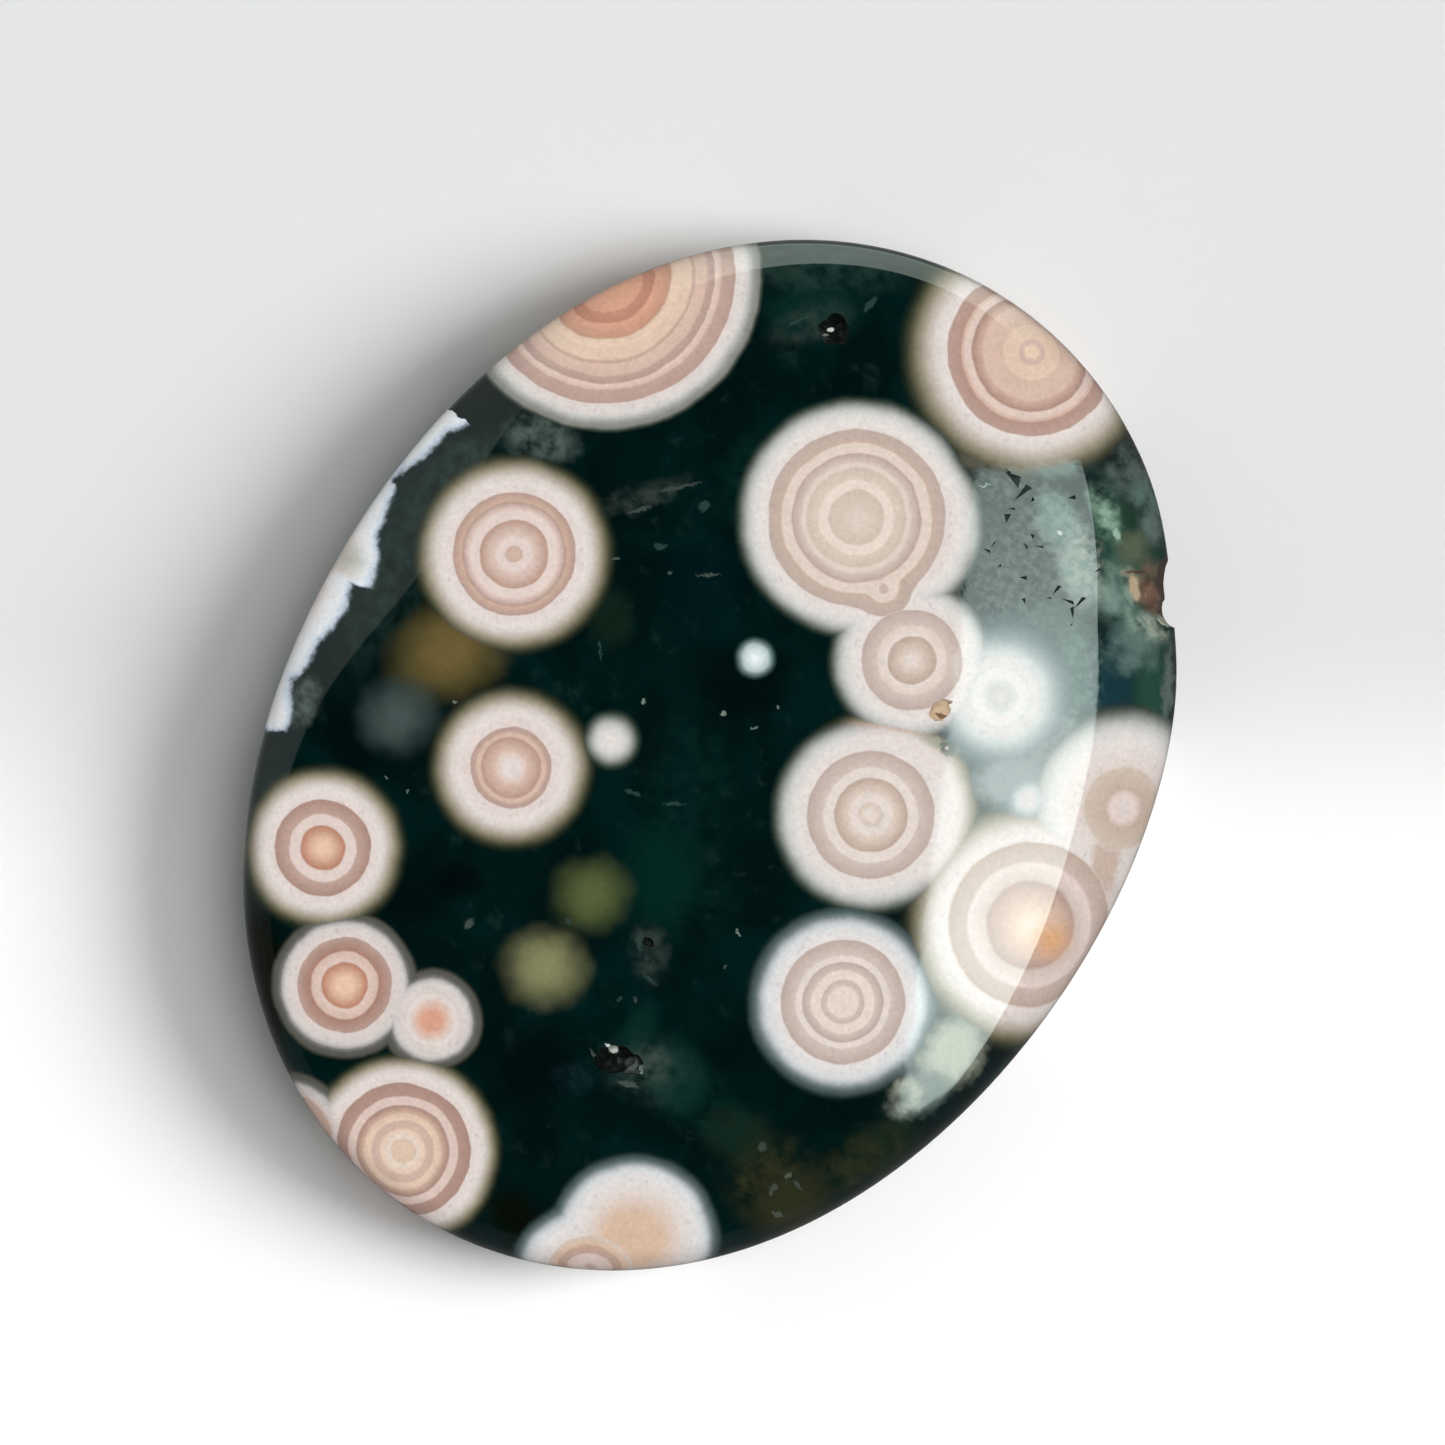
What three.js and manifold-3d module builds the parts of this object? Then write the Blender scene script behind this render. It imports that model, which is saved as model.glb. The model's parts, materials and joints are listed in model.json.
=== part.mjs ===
// An ocean jasper medallion: one polished oval stone with a softly domed face, a ridge and bevel
// round most of it, a shallow underside with a small flat foot, and a few open hollows and a chip.
import * as THREE from 'three';
import { mergeVertices } from 'three/addons/utils/BufferGeometryUtils.js';
import Module from 'manifold-3d';

// Millimetres and degrees. +Y runs along the stone and +Z up out of its polished face. The origin
// is under the middle of the outline, on the surface that the stone rests on.
const STONE_LENGTH = 70;
const STONE_WIDTH = 54.4;
const STONE_THICKNESS = 10.6;

// The rim is an even oval with slightly squared shoulders, a trace of a third lobe, and a worn
// stretch where it is ground in a little.
const RIM_SQUARENESS = 0.18;
const RIM_MEAN = (STONE_LENGTH + STONE_WIDTH) / 4 - RIM_SQUARENESS;
const RIM_STRETCH = (STONE_LENGTH - STONE_WIDTH) / 4;
const THIRD_LOBE = { rise: 0.09, towards: 17 };
const WORN_STRETCH = { towards: 52, depth: 0.4, spread: 9 };

// The face curves more across the stone than along it.
const FACE_RADIUS_ACROSS = 144;
const FACE_RADIUS_ALONG = 195;

// The bevel's width, from the rim in to the ridge, every 30 degrees anticlockwise from +X.
const BEVEL_WIDTHS = [2.9, 4.7, 4.7, 1.6, 1.9, 3.4, 5.1, 2.7, 1.6, 1.5, 1.5, 1.2];
const WIDEST_BEVEL = 5.1;
const RIDGE_TURN = 15;
const BEVEL_REACH = 0.45;
const SHOULDER_RISE = 0.62;

// The rim's own height, and the underside's shape between the rim and the flat foot.
const RIM_HEIGHT = 4.8;
const UNDER_DROP = 3.1;
const UNDER_TUCK = 5.5;
const UNDER_TUCK_HEIGHT = 0.75;
const FOOT_SHARE = 0.42;

// How finely the surface is divided.
const SEGMENTS = 96;
const FACE_RINGS = 7;
const BEVEL_RINGS = 6;
const UNDER_RINGS = 7;
const FOOT_RINGS = 2;

// Open hollows in the face and the chip in the rim: middle, size across, along and deep, and turn.
const HOLLOWS = [
  { name: 'upper hollow', at: [-8.2, 27.2], size: [2.1, 1.9, 1.5], turn: 30 },
  { name: 'lower hollow', at: [5.3, -19.7], size: [2.9, 1.8, 1.6], turn: 33 },
  { name: 'lower hollow side', at: [6.5, -19.3], size: [1.5, 1.4, 0.8], turn: 10 },
  { name: 'crumbled spot', at: [10.7, 10.4], size: [1.5, 1.2, 0.5], turn: 70 },
  { name: 'small pit', at: [3.1, -12.2], size: [0.8, 0.6, 0.5], turn: 0 },
];
const HOLLOW_LIFT = 0.12;
const HOLLOW_ROUGHNESS = 0.1;

// Where the rim is chipped: direction from the middle, how far outside the rim and how high the
// missing lump's middle is, its size outwards, along the rim and upwards, and its lean inwards.
const RIM_CHIPS = [
  { name: 'scooped flake', towards: 53.2, outside: 1.7, height: 5.4, size: [4.6, 5.2, 12], lean: 24 },
  { name: 'sharp notch', towards: 50.6, outside: 0.5, height: 4.6, size: [3, 2.1, 11], lean: 18 },
];
const CHIP_ROUGHNESS = 0.04;

const POLISHED_STONE = { color: 0x2a3a38, roughness: 0.08, metalness: 0 };

const TURN = 2 * Math.PI;

function radians(degrees) {
  return (degrees * Math.PI) / 180;
}

// The rim's distance from the middle in the direction of an angle from +X.
function rimReach(angle) {
  const oval = RIM_MEAN - RIM_STRETCH * Math.cos(2 * angle) + RIM_SQUARENESS * Math.cos(4 * angle);
  const lobe = THIRD_LOBE.rise * Math.cos(3 * (angle - radians(THIRD_LOBE.towards)));
  const offWear = (angle - radians(WORN_STRETCH.towards)) / radians(WORN_STRETCH.spread);
  return oval + lobe - WORN_STRETCH.depth * Math.exp(-offWear * offWear);
}

// The bevel's width at an angle: a smooth closed curve through the stated widths.
function bevelWidth(angle) {
  const count = BEVEL_WIDTHS.length;
  const place = (((angle / TURN) % 1) + 1) % 1 * count;
  const first = Math.floor(place);
  const part = place - first;
  const [before, start, end, after] = [-1, 0, 1, 2].map(
    (step) => BEVEL_WIDTHS[(first + step + count) % count],
  );
  const startSlope = (end - before) / 2;
  const endSlope = (after - start) / 2;
  const gap = end - start;
  const bend = 3 * gap - 2 * startSlope - endSlope;
  const twist = startSlope + endSlope - 2 * gap;
  return start + part * (startSlope + part * (bend + part * twist));
}

// The domed face's height over a point of the plan.
function faceHeight(x, y) {
  return STONE_THICKNESS - (x * x) / (2 * FACE_RADIUS_ACROSS) - (y * y) / (2 * FACE_RADIUS_ALONG);
}

// A cubic Bezier curve in radius and height.
function curvePoint(corners, part) {
  const [a, b, c, d] = corners;
  const rest = 1 - part;
  const weights = [rest ** 3, 3 * rest * rest * part, 3 * rest * part * part, part ** 3];
  return [0, 1].map(
    (axis) => weights[0] * a[axis] + weights[1] * b[axis] + weights[2] * c[axis] + weights[3] * d[axis],
  );
}

// The bevel from the ridge to the rim: it leaves the ridge steeper than the face and ends upright.
function bevelCurve(angle) {
  const rim = rimReach(angle);
  const width = bevelWidth(angle);
  const ridge = rim - width;
  const height = faceHeight(ridge * Math.cos(angle), ridge * Math.sin(angle));
  const faceSlope =
    ridge * (Math.cos(angle) ** 2 / FACE_RADIUS_ACROSS + Math.sin(angle) ** 2 / FACE_RADIUS_ALONG);
  const tilt = Math.atan(faceSlope) + radians(RIDGE_TURN * width / WIDEST_BEVEL);
  const reach = width * BEVEL_REACH;
  return [
    [ridge, height],
    [ridge + reach, height - reach * Math.tan(tilt)],
    [rim, RIM_HEIGHT + (height - RIM_HEIGHT) * SHOULDER_RISE],
    [rim, RIM_HEIGHT],
  ];
}

// The underside from the rim in to the edge of the flat foot.
function underCurve(angle) {
  const rim = rimReach(angle);
  return [
    [rim, RIM_HEIGHT],
    [rim, RIM_HEIGHT - UNDER_DROP],
    [rim - UNDER_TUCK, UNDER_TUCK_HEIGHT],
    [rim * FOOT_SHARE, 0],
  ];
}

// The stone's section at an angle, from the top of the face to the middle of the foot.
function section(angle) {
  const points = [];
  const ridge = rimReach(angle) - bevelWidth(angle);
  for (let ring = 1; ring <= FACE_RINGS; ring += 1) {
    const radius = (ridge * ring) / FACE_RINGS;
    points.push([radius, faceHeight(radius * Math.cos(angle), radius * Math.sin(angle))]);
  }
  for (let ring = 1; ring <= BEVEL_RINGS; ring += 1) {
    points.push(curvePoint(bevelCurve(angle), ring / BEVEL_RINGS));
  }
  for (let ring = 1; ring <= UNDER_RINGS; ring += 1) {
    points.push(curvePoint(underCurve(angle), ring / UNDER_RINGS));
  }
  for (let ring = FOOT_RINGS - 1; ring > 0; ring -= 1) {
    points.push([(rimReach(angle) * FOOT_SHARE * ring) / FOOT_RINGS, 0]);
  }
  return points;
}

// The whole stone before its hollows are opened, as rings of points closed by a fan at each end.
function stoneGeometry() {
  const positions = [0, 0, STONE_THICKNESS];
  for (let segment = 0; segment < SEGMENTS; segment += 1) {
    const angle = (TURN * segment) / SEGMENTS;
    for (const [radius, height] of section(angle)) {
      positions.push(radius * Math.cos(angle), radius * Math.sin(angle), height);
    }
  }
  const rings = FACE_RINGS + BEVEL_RINGS + UNDER_RINGS + FOOT_RINGS - 1;
  const foot = positions.length / 3;
  positions.push(0, 0, 0);
  const indices = [];
  for (let segment = 0; segment < SEGMENTS; segment += 1) {
    const here = 1 + segment * rings;
    const next = 1 + ((segment + 1) % SEGMENTS) * rings;
    indices.push(0, here, next);
    for (let ring = 0; ring < rings - 1; ring += 1) {
      indices.push(here + ring, here + ring + 1, next + ring + 1);
      indices.push(here + ring, next + ring + 1, next + ring);
    }
    indices.push(here + rings - 1, foot, next + rings - 1);
  }
  const geometry = new THREE.BufferGeometry();
  geometry.setAttribute('position', new THREE.Float32BufferAttribute(positions, 3));
  geometry.setIndex(indices);
  return geometry;
}

// A lump with uneven flat faces, the shape of what is missing from a hollow or a chip.
function roughLump(size, roughness, seed) {
  let lump = new THREE.IcosahedronGeometry(0.5, 1);
  lump.deleteAttribute('normal');
  lump.deleteAttribute('uv');
  lump = mergeVertices(lump);
  const position = lump.attributes.position;
  const point = new THREE.Vector3();
  for (let index = 0; index < position.count; index += 1) {
    point.fromBufferAttribute(position, index);
    const unevenness = Math.sin(11 * point.x + seed) + Math.sin(13 * point.y + 2 * seed);
    point.multiplyScalar(1 + roughness * unevenness);
    position.setXYZ(index, point.x, point.y, point.z);
  }
  lump.scale(...size);
  return lump;
}

// What is missing from a hollow in the face.
function hollowLump(hollow, seed) {
  const [across, along, deep] = hollow.size;
  const [x, y] = hollow.at;
  const lump = roughLump([across, along, 2 * deep], HOLLOW_ROUGHNESS, seed);
  lump.rotateZ(radians(hollow.turn));
  lump.translate(x, y, faceHeight(x, y) + HOLLOW_LIFT);
  return lump;
}

// What is missing from the rim: a tall lump that leans in over the bevel.
function chipLump(chip, seed) {
  const angle = radians(chip.towards);
  const lump = roughLump(chip.size, CHIP_ROUGHNESS, seed);
  lump.rotateY(-radians(chip.lean));
  lump.translate(rimReach(angle) + chip.outside, 0, chip.height);
  lump.rotateZ(angle);
  return lump;
}

function toSolid(wasm, geometry) {
  const mesh = new wasm.Mesh({
    numProp: 3,
    vertProperties: new Float32Array(geometry.attributes.position.array),
    triVerts: new Uint32Array(geometry.index.array),
  });
  return new wasm.Manifold(mesh);
}

function toGeometry(solid) {
  const mesh = solid.getMesh();
  const geometry = new THREE.BufferGeometry();
  geometry.setAttribute('position', new THREE.BufferAttribute(new Float32Array(mesh.vertProperties), 3));
  geometry.setIndex(new THREE.BufferAttribute(new Uint32Array(mesh.triVerts), 1));
  geometry.computeVertexNormals();
  return geometry;
}

// The stone with its hollows opened in the face and its rim chipped.
function worn(wasm) {
  const lumps = [...HOLLOWS.map(hollowLump), ...RIM_CHIPS.map(chipLump)];
  const whole = toSolid(wasm, stoneGeometry());
  return lumps.reduce((stone, lump) => stone.subtract(toSolid(wasm, lump)), whole);
}

// Moves a geometry sideways until the middle of its outline is over the origin.
function centreInPlan(geometry) {
  geometry.computeBoundingBox();
  const middle = geometry.boundingBox.getCenter(new THREE.Vector3());
  geometry.translate(-middle.x, -middle.y, 0);
  return geometry;
}

const wasm = await Module();
wasm.setup();

const surface = new THREE.MeshStandardMaterial(POLISHED_STONE);
const stone = new THREE.Mesh(centreInPlan(toGeometry(worn(wasm))), surface);
stone.name = 'jasper_medallion';

const medallion = new THREE.Group();
medallion.add(stone);

export default medallion;
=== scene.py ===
import json
import math

import bmesh
import bpy
from mathutils import Euler, Matrix, Vector, noise

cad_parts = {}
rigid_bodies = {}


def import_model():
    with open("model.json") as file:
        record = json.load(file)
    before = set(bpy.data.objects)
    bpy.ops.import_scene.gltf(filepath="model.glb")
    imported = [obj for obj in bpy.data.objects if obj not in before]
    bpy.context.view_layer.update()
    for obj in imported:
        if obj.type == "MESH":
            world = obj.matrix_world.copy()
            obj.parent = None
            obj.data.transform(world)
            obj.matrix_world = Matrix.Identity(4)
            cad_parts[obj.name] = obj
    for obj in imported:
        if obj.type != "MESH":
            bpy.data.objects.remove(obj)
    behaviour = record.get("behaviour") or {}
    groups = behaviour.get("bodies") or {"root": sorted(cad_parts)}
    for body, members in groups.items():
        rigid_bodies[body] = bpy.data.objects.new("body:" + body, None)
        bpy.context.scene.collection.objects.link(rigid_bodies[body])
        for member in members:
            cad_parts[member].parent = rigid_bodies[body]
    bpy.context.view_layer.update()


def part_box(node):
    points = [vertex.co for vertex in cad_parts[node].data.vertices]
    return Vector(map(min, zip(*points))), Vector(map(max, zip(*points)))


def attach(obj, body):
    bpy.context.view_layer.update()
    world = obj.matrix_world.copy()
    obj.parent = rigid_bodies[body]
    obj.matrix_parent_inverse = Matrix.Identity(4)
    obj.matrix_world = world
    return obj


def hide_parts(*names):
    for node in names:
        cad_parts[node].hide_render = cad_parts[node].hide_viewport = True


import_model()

STONE_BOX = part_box("jasper_medallion")
MM = 0.001

# The photograph: pixels in its 1445 x 1445 frame, where the picture's up is turned from the stone's
# own length, +Y. The scale holds at the height of the stone's rim.
PHOTO_SIZE = 1445
PIXELS_PER_MM = 15.564
STONE_MIDDLE_PIXEL = (711.7, 756.9)
PICTURE_TURN = math.radians(33)
RIM_HEIGHT = 4.8
CAMERA_HEIGHT = 1200
CAMERA_REACH_METRES = 100
SENSOR_WIDTH = 36

# The stone's form, as in the CAD model. The bevel's widths are at equal steps round from +X.
STONE_LENGTH = 70
STONE_WIDTH = 54.4
STONE_THICKNESS = 10.6
RIM_SQUARENESS = 0.18
RIM_MEAN = (STONE_LENGTH + STONE_WIDTH) / 4 - RIM_SQUARENESS
RIM_STRETCH = (STONE_LENGTH - STONE_WIDTH) / 4
THIRD_LOBE_RISE = 0.09
THIRD_LOBE_TOWARDS = math.radians(17)
WORN_TOWARDS = math.radians(52)
WORN_DEPTH = 0.4
WORN_SPREAD = math.radians(9)
FACE_RADIUS_ACROSS = 144
FACE_RADIUS_ALONG = 195
FACE_MEAN_HEIGHT = STONE_THICKNESS - 1
BEVEL_WIDTHS = (2.9, 4.7, 4.7, 1.6, 1.9, 3.4, 5.1, 2.7, 1.6, 1.5, 1.5, 1.2)
WIDEST_BEVEL = 5.1
RIDGE_TURN = math.radians(15)
BEVEL_REACH = 0.45
SHOULDER_RISE = 0.62
UNDER_DROP = 3.1
UNDER_TUCK = 5.5
UNDER_TUCK_HEIGHT = 0.75
FOOT_SHARE = 0.42

# Open hollows in the face, as in the CAD model: middle, size across, along and deep, turn, and the
# place in the noise that makes each one uneven in its own way.
HOLLOWS = (
    {"name": "upper hollow", "at": (-8.2, 27.2), "size": (2.1, 1.9, 1.5), "turn": 30, "seed": 0},
    {"name": "lower hollow", "at": (5.3, -19.7), "size": (2.9, 1.8, 1.6), "turn": 33, "seed": 3},
    {"name": "lower hollow side", "at": (6.5, -19.3), "size": (1.5, 1.4, 0.8), "turn": 10, "seed": 6},
    {"name": "crumbled spot", "at": (10.7, 10.4), "size": (1.5, 1.2, 0.5), "turn": 70, "seed": 9},
    {"name": "small pit", "at": (3.1, -12.2), "size": (0.8, 0.6, 0.5), "turn": 0, "seed": 12},
)
HOLLOW_LIFT = 0.12
HOLLOW_ROUGHNESS = 0.3

# What is chipped off the rim, within about half a millimetre of the CAD model: direction, how far
# outside the rim and how high its middle is, its size outwards, along the rim and upwards, its lean
# inwards, its turn and its place in the noise.
RIM_CHIPS = (
    {"name": "scooped flake", "towards": 51.8, "outside": 1.87, "height": 5.4, "size": (4.6, 7.2, 12),
     "lean": 24, "turn": -14, "seed": 2},
    {"name": "break under it", "towards": 51.8, "outside": 1.9, "height": 4.2, "size": (4.7, 7.2, 6),
     "lean": 0, "turn": -14, "seed": 7},
    {"name": "sharp notch", "towards": 50.3, "outside": 0.5, "height": 4.6, "size": (2.9, 2.4, 11),
     "lean": 10, "turn": -14, "seed": 12},
)
CHIP_ROUGHNESS = 0.07

# Small sharp pits in the face, too small for the CAD model: pixel, size along and across, turn from
# the picture's right.
SHARP_PITS = (
    ((1015, 479), (1.2, 0.5), -56), ((1009, 473), (0.5, 0.12), -50), ((1026, 491), (1.15, 0.38), 25),
    ((1033, 501), (0.3, 0.22), 20), ((1013, 510), (0.45, 0.12), -15), ((1008.5, 517.5), (0.5, 0.36), 180),
    ((1033, 537.5), (0.3, 0.22), 60), ((1026, 547), (0.55, 0.12), -65), ((1041, 548), (0.55, 0.12), -20),
    ((988, 552), (0.55, 0.14), -40), ((994, 545), (0.5, 0.1), 48), ((1000, 567), (0.25, 0.16), 0),
    ((1024.5, 579), (0.5, 0.2), -25), ((1058, 590), (0.8, 0.18), 38), ((1050, 599.5), (0.4, 0.1), -12),
    ((1024.5, 602), (0.38, 0.16), 80), ((1070.5, 603), (0.85, 0.18), -32), ((1082, 602), (1.0, 0.2), 36),
    ((1073, 613), (0.9, 0.18), 82), ((1072, 626), (0.16, 0.12), 0), ((1073.5, 498.5), (0.5, 0.24), -20),
    ((1099.5, 571), (0.5, 0.14), 12),
)
SHARP_PIT_DEPTH = 0.2
SHARP_PIT_RISE = 0.15

# A sharp pit's corners as shares of its length and width.
SHARP_PIT_CORNERS = ((-1 / 2, -1 / 2), (1 / 2, -1 / 3), (1 / 5, 1))

# Pieces beside each other in these lists may overlap, so they are cut away in different rounds. Cut
# edges sharper than this angle aren't smoothed.
CUT_ROUNDS = 3
SHARP_EDGE = math.radians(28)

# How finely the visible surface is divided, and how far the polish rounds the ridge to each side.
SEGMENTS = 480
FACE_RINGS = 40
RIDGE_RINGS = 5
BEVEL_RINGS = 22
UNDER_RINGS = 26
FOOT_RINGS = 6
RIDGE_ROUNDING = 0.16

# Directions in the stone's plan that are right and up in the picture.
PICTURE_RIGHT = Vector((math.cos(PICTURE_TURN), math.sin(PICTURE_TURN), 0))
PICTURE_UP = Vector((-math.sin(PICTURE_TURN), math.cos(PICTURE_TURN), 0))


def picture_direction(azimuth):
    """A direction in the plan, by its degrees from the picture's right."""
    angle = math.radians(azimuth)
    return PICTURE_RIGHT * math.cos(angle) + PICTURE_UP * math.sin(angle)


def plan_of_pixel(pixel, height=RIM_HEIGHT):
    """The point of the stone's plan that a pixel of the photograph shows at a height."""
    middle = Vector(STONE_MIDDLE_PIXEL)
    centre = Vector((PHOTO_SIZE / 2, PHOTO_SIZE / 2))
    nearer = (CAMERA_HEIGHT - height) / (CAMERA_HEIGHT - RIM_HEIGHT)
    seen = centre + (Vector(pixel) - centre) * nearer
    across = (seen.x - middle.x) / PIXELS_PER_MM
    upward = (middle.y - seen.y) / PIXELS_PER_MM
    return PICTURE_RIGHT * across + PICTURE_UP * upward


def face_point(pixel):
    """The point of the face that a pixel of the photograph shows."""
    plan = plan_of_pixel(pixel, FACE_MEAN_HEIGHT)
    return Vector((plan.x, plan.y, face_height(plan.x, plan.y)))


def rim_reach(angle):
    """The rim's distance from the middle in a direction."""
    oval = RIM_MEAN - RIM_STRETCH * math.cos(2 * angle) + RIM_SQUARENESS * math.cos(4 * angle)
    lobe = THIRD_LOBE_RISE * math.cos(3 * (angle - THIRD_LOBE_TOWARDS))
    off_wear = (math.remainder(angle - WORN_TOWARDS, math.tau)) / WORN_SPREAD
    return oval + lobe - WORN_DEPTH * math.exp(-off_wear * off_wear)


def bevel_width(angle):
    """The bevel's width from the rim in to the ridge, a smooth closed curve through the widths."""
    count = len(BEVEL_WIDTHS)
    place = (angle / math.tau) % 1 * count
    first = int(place)
    part = place - first
    before, start, end, after = (BEVEL_WIDTHS[(first + step) % count] for step in (-1, 0, 1, 2))
    start_slope = (end - before) / 2
    end_slope = (after - start) / 2
    gap = end - start
    bend = 3 * gap - 2 * start_slope - end_slope
    twist = start_slope + end_slope - 2 * gap
    return start + part * (start_slope + part * (bend + part * twist))


def face_height(x, y):
    """The domed face's height over a point of the plan."""
    return STONE_THICKNESS - x * x / (2 * FACE_RADIUS_ACROSS) - y * y / (2 * FACE_RADIUS_ALONG)


def curve_point(corners, part):
    """A point of a cubic Bezier curve in radius and height."""
    rest = 1 - part
    weights = (rest**3, 3 * rest * rest * part, 3 * rest * part * part, part**3)
    return tuple(sum(w * corner[axis] for w, corner in zip(weights, corners)) for axis in (0, 1))


def bevel_curve(angle):
    """The bevel from the ridge to the rim."""
    rim = rim_reach(angle)
    width = bevel_width(angle)
    ridge = rim - width
    height = face_height(ridge * math.cos(angle), ridge * math.sin(angle))
    across = math.cos(angle) ** 2 / FACE_RADIUS_ACROSS
    along = math.sin(angle) ** 2 / FACE_RADIUS_ALONG
    tilt = math.atan(ridge * (across + along)) + RIDGE_TURN * width / WIDEST_BEVEL
    reach = width * BEVEL_REACH
    return (
        (ridge, height),
        (ridge + reach, height - reach * math.tan(tilt)),
        (rim, RIM_HEIGHT + (height - RIM_HEIGHT) * SHOULDER_RISE),
        (rim, RIM_HEIGHT),
    )


def under_curve(angle):
    """The underside from the rim in to the edge of the flat foot."""
    rim = rim_reach(angle)
    return (
        (rim, RIM_HEIGHT),
        (rim, RIM_HEIGHT - UNDER_DROP),
        (rim - UNDER_TUCK, UNDER_TUCK_HEIGHT),
        (rim * FOOT_SHARE, 0),
    )


def ridge_rounding(angle, bevel, bevel_start):
    """Points that round the ridge over, between the face and the bevel."""
    ridge = bevel[0][0]
    inner = ridge - RIDGE_ROUNDING
    on_face = (inner, face_height(inner * math.cos(angle), inner * math.sin(angle)))
    on_bevel = curve_point(bevel, bevel_start)
    points = []
    for ring in range(1, RIDGE_RINGS):
        part = ring / RIDGE_RINGS
        weights = ((1 - part) ** 2, 2 * part * (1 - part), part * part)
        corners = (on_face, bevel[0], on_bevel)
        points.append(tuple(sum(w * c[axis] for w, c in zip(weights, corners)) for axis in (0, 1)))
    return points


def section(angle):
    """The stone's section in a direction, from beside the top of the face to the middle of the foot."""
    bevel = bevel_curve(angle)
    flat = bevel[0][0] - RIDGE_ROUNDING
    bevel_start = RIDGE_ROUNDING / (3 * BEVEL_REACH * bevel_width(angle))
    points = []
    for ring in range(1, FACE_RINGS + 1):
        radius = flat * ring / FACE_RINGS
        points.append((radius, face_height(radius * math.cos(angle), radius * math.sin(angle))))
    points += ridge_rounding(angle, bevel, bevel_start)
    for ring in range(BEVEL_RINGS + 1):
        points.append(curve_point(bevel, bevel_start + (1 - bevel_start) * ring / BEVEL_RINGS))
    for ring in range(1, UNDER_RINGS + 1):
        points.append(curve_point(under_curve(angle), ring / UNDER_RINGS))
    for ring in range(FOOT_RINGS - 1, 0, -1):
        points.append((rim_reach(angle) * FOOT_SHARE * ring / FOOT_RINGS, 0))
    return points


def whole_stone():
    """The whole polished stone as rings of points closed by a fan at each end."""
    points = [(0, 0, STONE_THICKNESS)]
    for segment in range(SEGMENTS):
        angle = math.tau * segment / SEGMENTS
        for radius, height in section(angle):
            points.append((radius * math.cos(angle), radius * math.sin(angle), height))
    rings = (len(points) - 1) // SEGMENTS
    foot = len(points)
    points.append((0, 0, 0))
    faces = []
    for segment in range(SEGMENTS):
        here = 1 + segment * rings
        after = 1 + (segment + 1) % SEGMENTS * rings
        faces.append((0, here, after))
        for ring in range(rings - 1):
            faces.append((here + ring, here + ring + 1, after + ring + 1, after + ring))
        faces.append((here + rings - 1, foot, after + rings - 1))
    mesh = bpy.data.meshes.new("whole_stone")
    mesh.from_pydata(points, [], faces)
    mesh.shade_smooth()
    return mesh


# What is missing from the stone

LUMP_GRAIN = 1.7
LUMP_DIVISIONS = 3


def add_lump(form, size, roughness, seed, place):
    """Adds an uneven lump of a size to the form, moved to its place by a matrix."""
    made = bmesh.ops.create_icosphere(form, subdivisions=LUMP_DIVISIONS, radius=0.5)["verts"]
    for vert in made:
        grain = noise.noise(vert.co.normalized() * LUMP_GRAIN + Vector((seed, 0, 0)))
        vert.co *= 1 + roughness * grain
    bmesh.ops.scale(form, vec=size, verts=made)
    bmesh.ops.transform(form, matrix=place, verts=made)


def add_hollow(form, hollow):
    across, along, deep = hollow["size"]
    x, y = hollow["at"]
    place = Matrix.Translation((x, y, face_height(x, y) + HOLLOW_LIFT))
    turn = Matrix.Rotation(math.radians(hollow["turn"]), 4, "Z")
    add_lump(form, (across, along, 2 * deep), HOLLOW_ROUGHNESS, hollow["seed"], place @ turn)


def add_chip(form, chip):
    angle = math.radians(chip["towards"])
    lean = Matrix.Rotation(-math.radians(chip["lean"]), 4, "Y")
    out = Matrix.Translation((rim_reach(angle) + chip["outside"], 0, chip["height"]))
    turn = Matrix.Rotation(math.radians(chip["turn"]), 4, "Z")
    place = Matrix.Rotation(angle, 4, "Z") @ out @ turn @ lean
    add_lump(form, chip["size"], CHIP_ROUGHNESS, chip["seed"], place)


def add_sharp_pit(form, pixel, size, turn):
    """Adds a small wedge that points down into the face."""
    length, width = size
    middle = face_point(pixel)
    turned = Matrix.Rotation(PICTURE_TURN + math.radians(turn), 4, "Z")
    place = Matrix.Translation(middle) @ turned
    rise = SHARP_PIT_RISE
    deep = min(SHARP_PIT_DEPTH, width)
    spread = 1 + rise / deep
    top = []
    for x, y in SHARP_PIT_CORNERS:
        corner = Vector((length * x * spread, width * y * spread, rise))
        top.append(form.verts.new(place @ corner))
    tip = form.verts.new(place @ Vector((0, 0, -deep)))
    form.faces.new(top)
    for index, corner in enumerate(top):
        form.faces.new((corner, tip, top[(index + 1) % len(top)]))


def missing_pieces(material, cut_round):
    """The hollows, chips and pits of one round, as one mesh of the shapes to cut away."""
    form = bmesh.new()
    for hollow in HOLLOWS[cut_round::CUT_ROUNDS]:
        add_hollow(form, hollow)
    for chip in RIM_CHIPS[cut_round::CUT_ROUNDS]:
        add_chip(form, chip)
    for pixel, size, turn in SHARP_PITS[cut_round::CUT_ROUNDS]:
        add_sharp_pit(form, pixel, size, turn)
    mesh = bpy.data.meshes.new("missing_pieces")
    form.to_mesh(mesh)
    form.free()
    mesh.materials.append(material)
    return mesh


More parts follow.
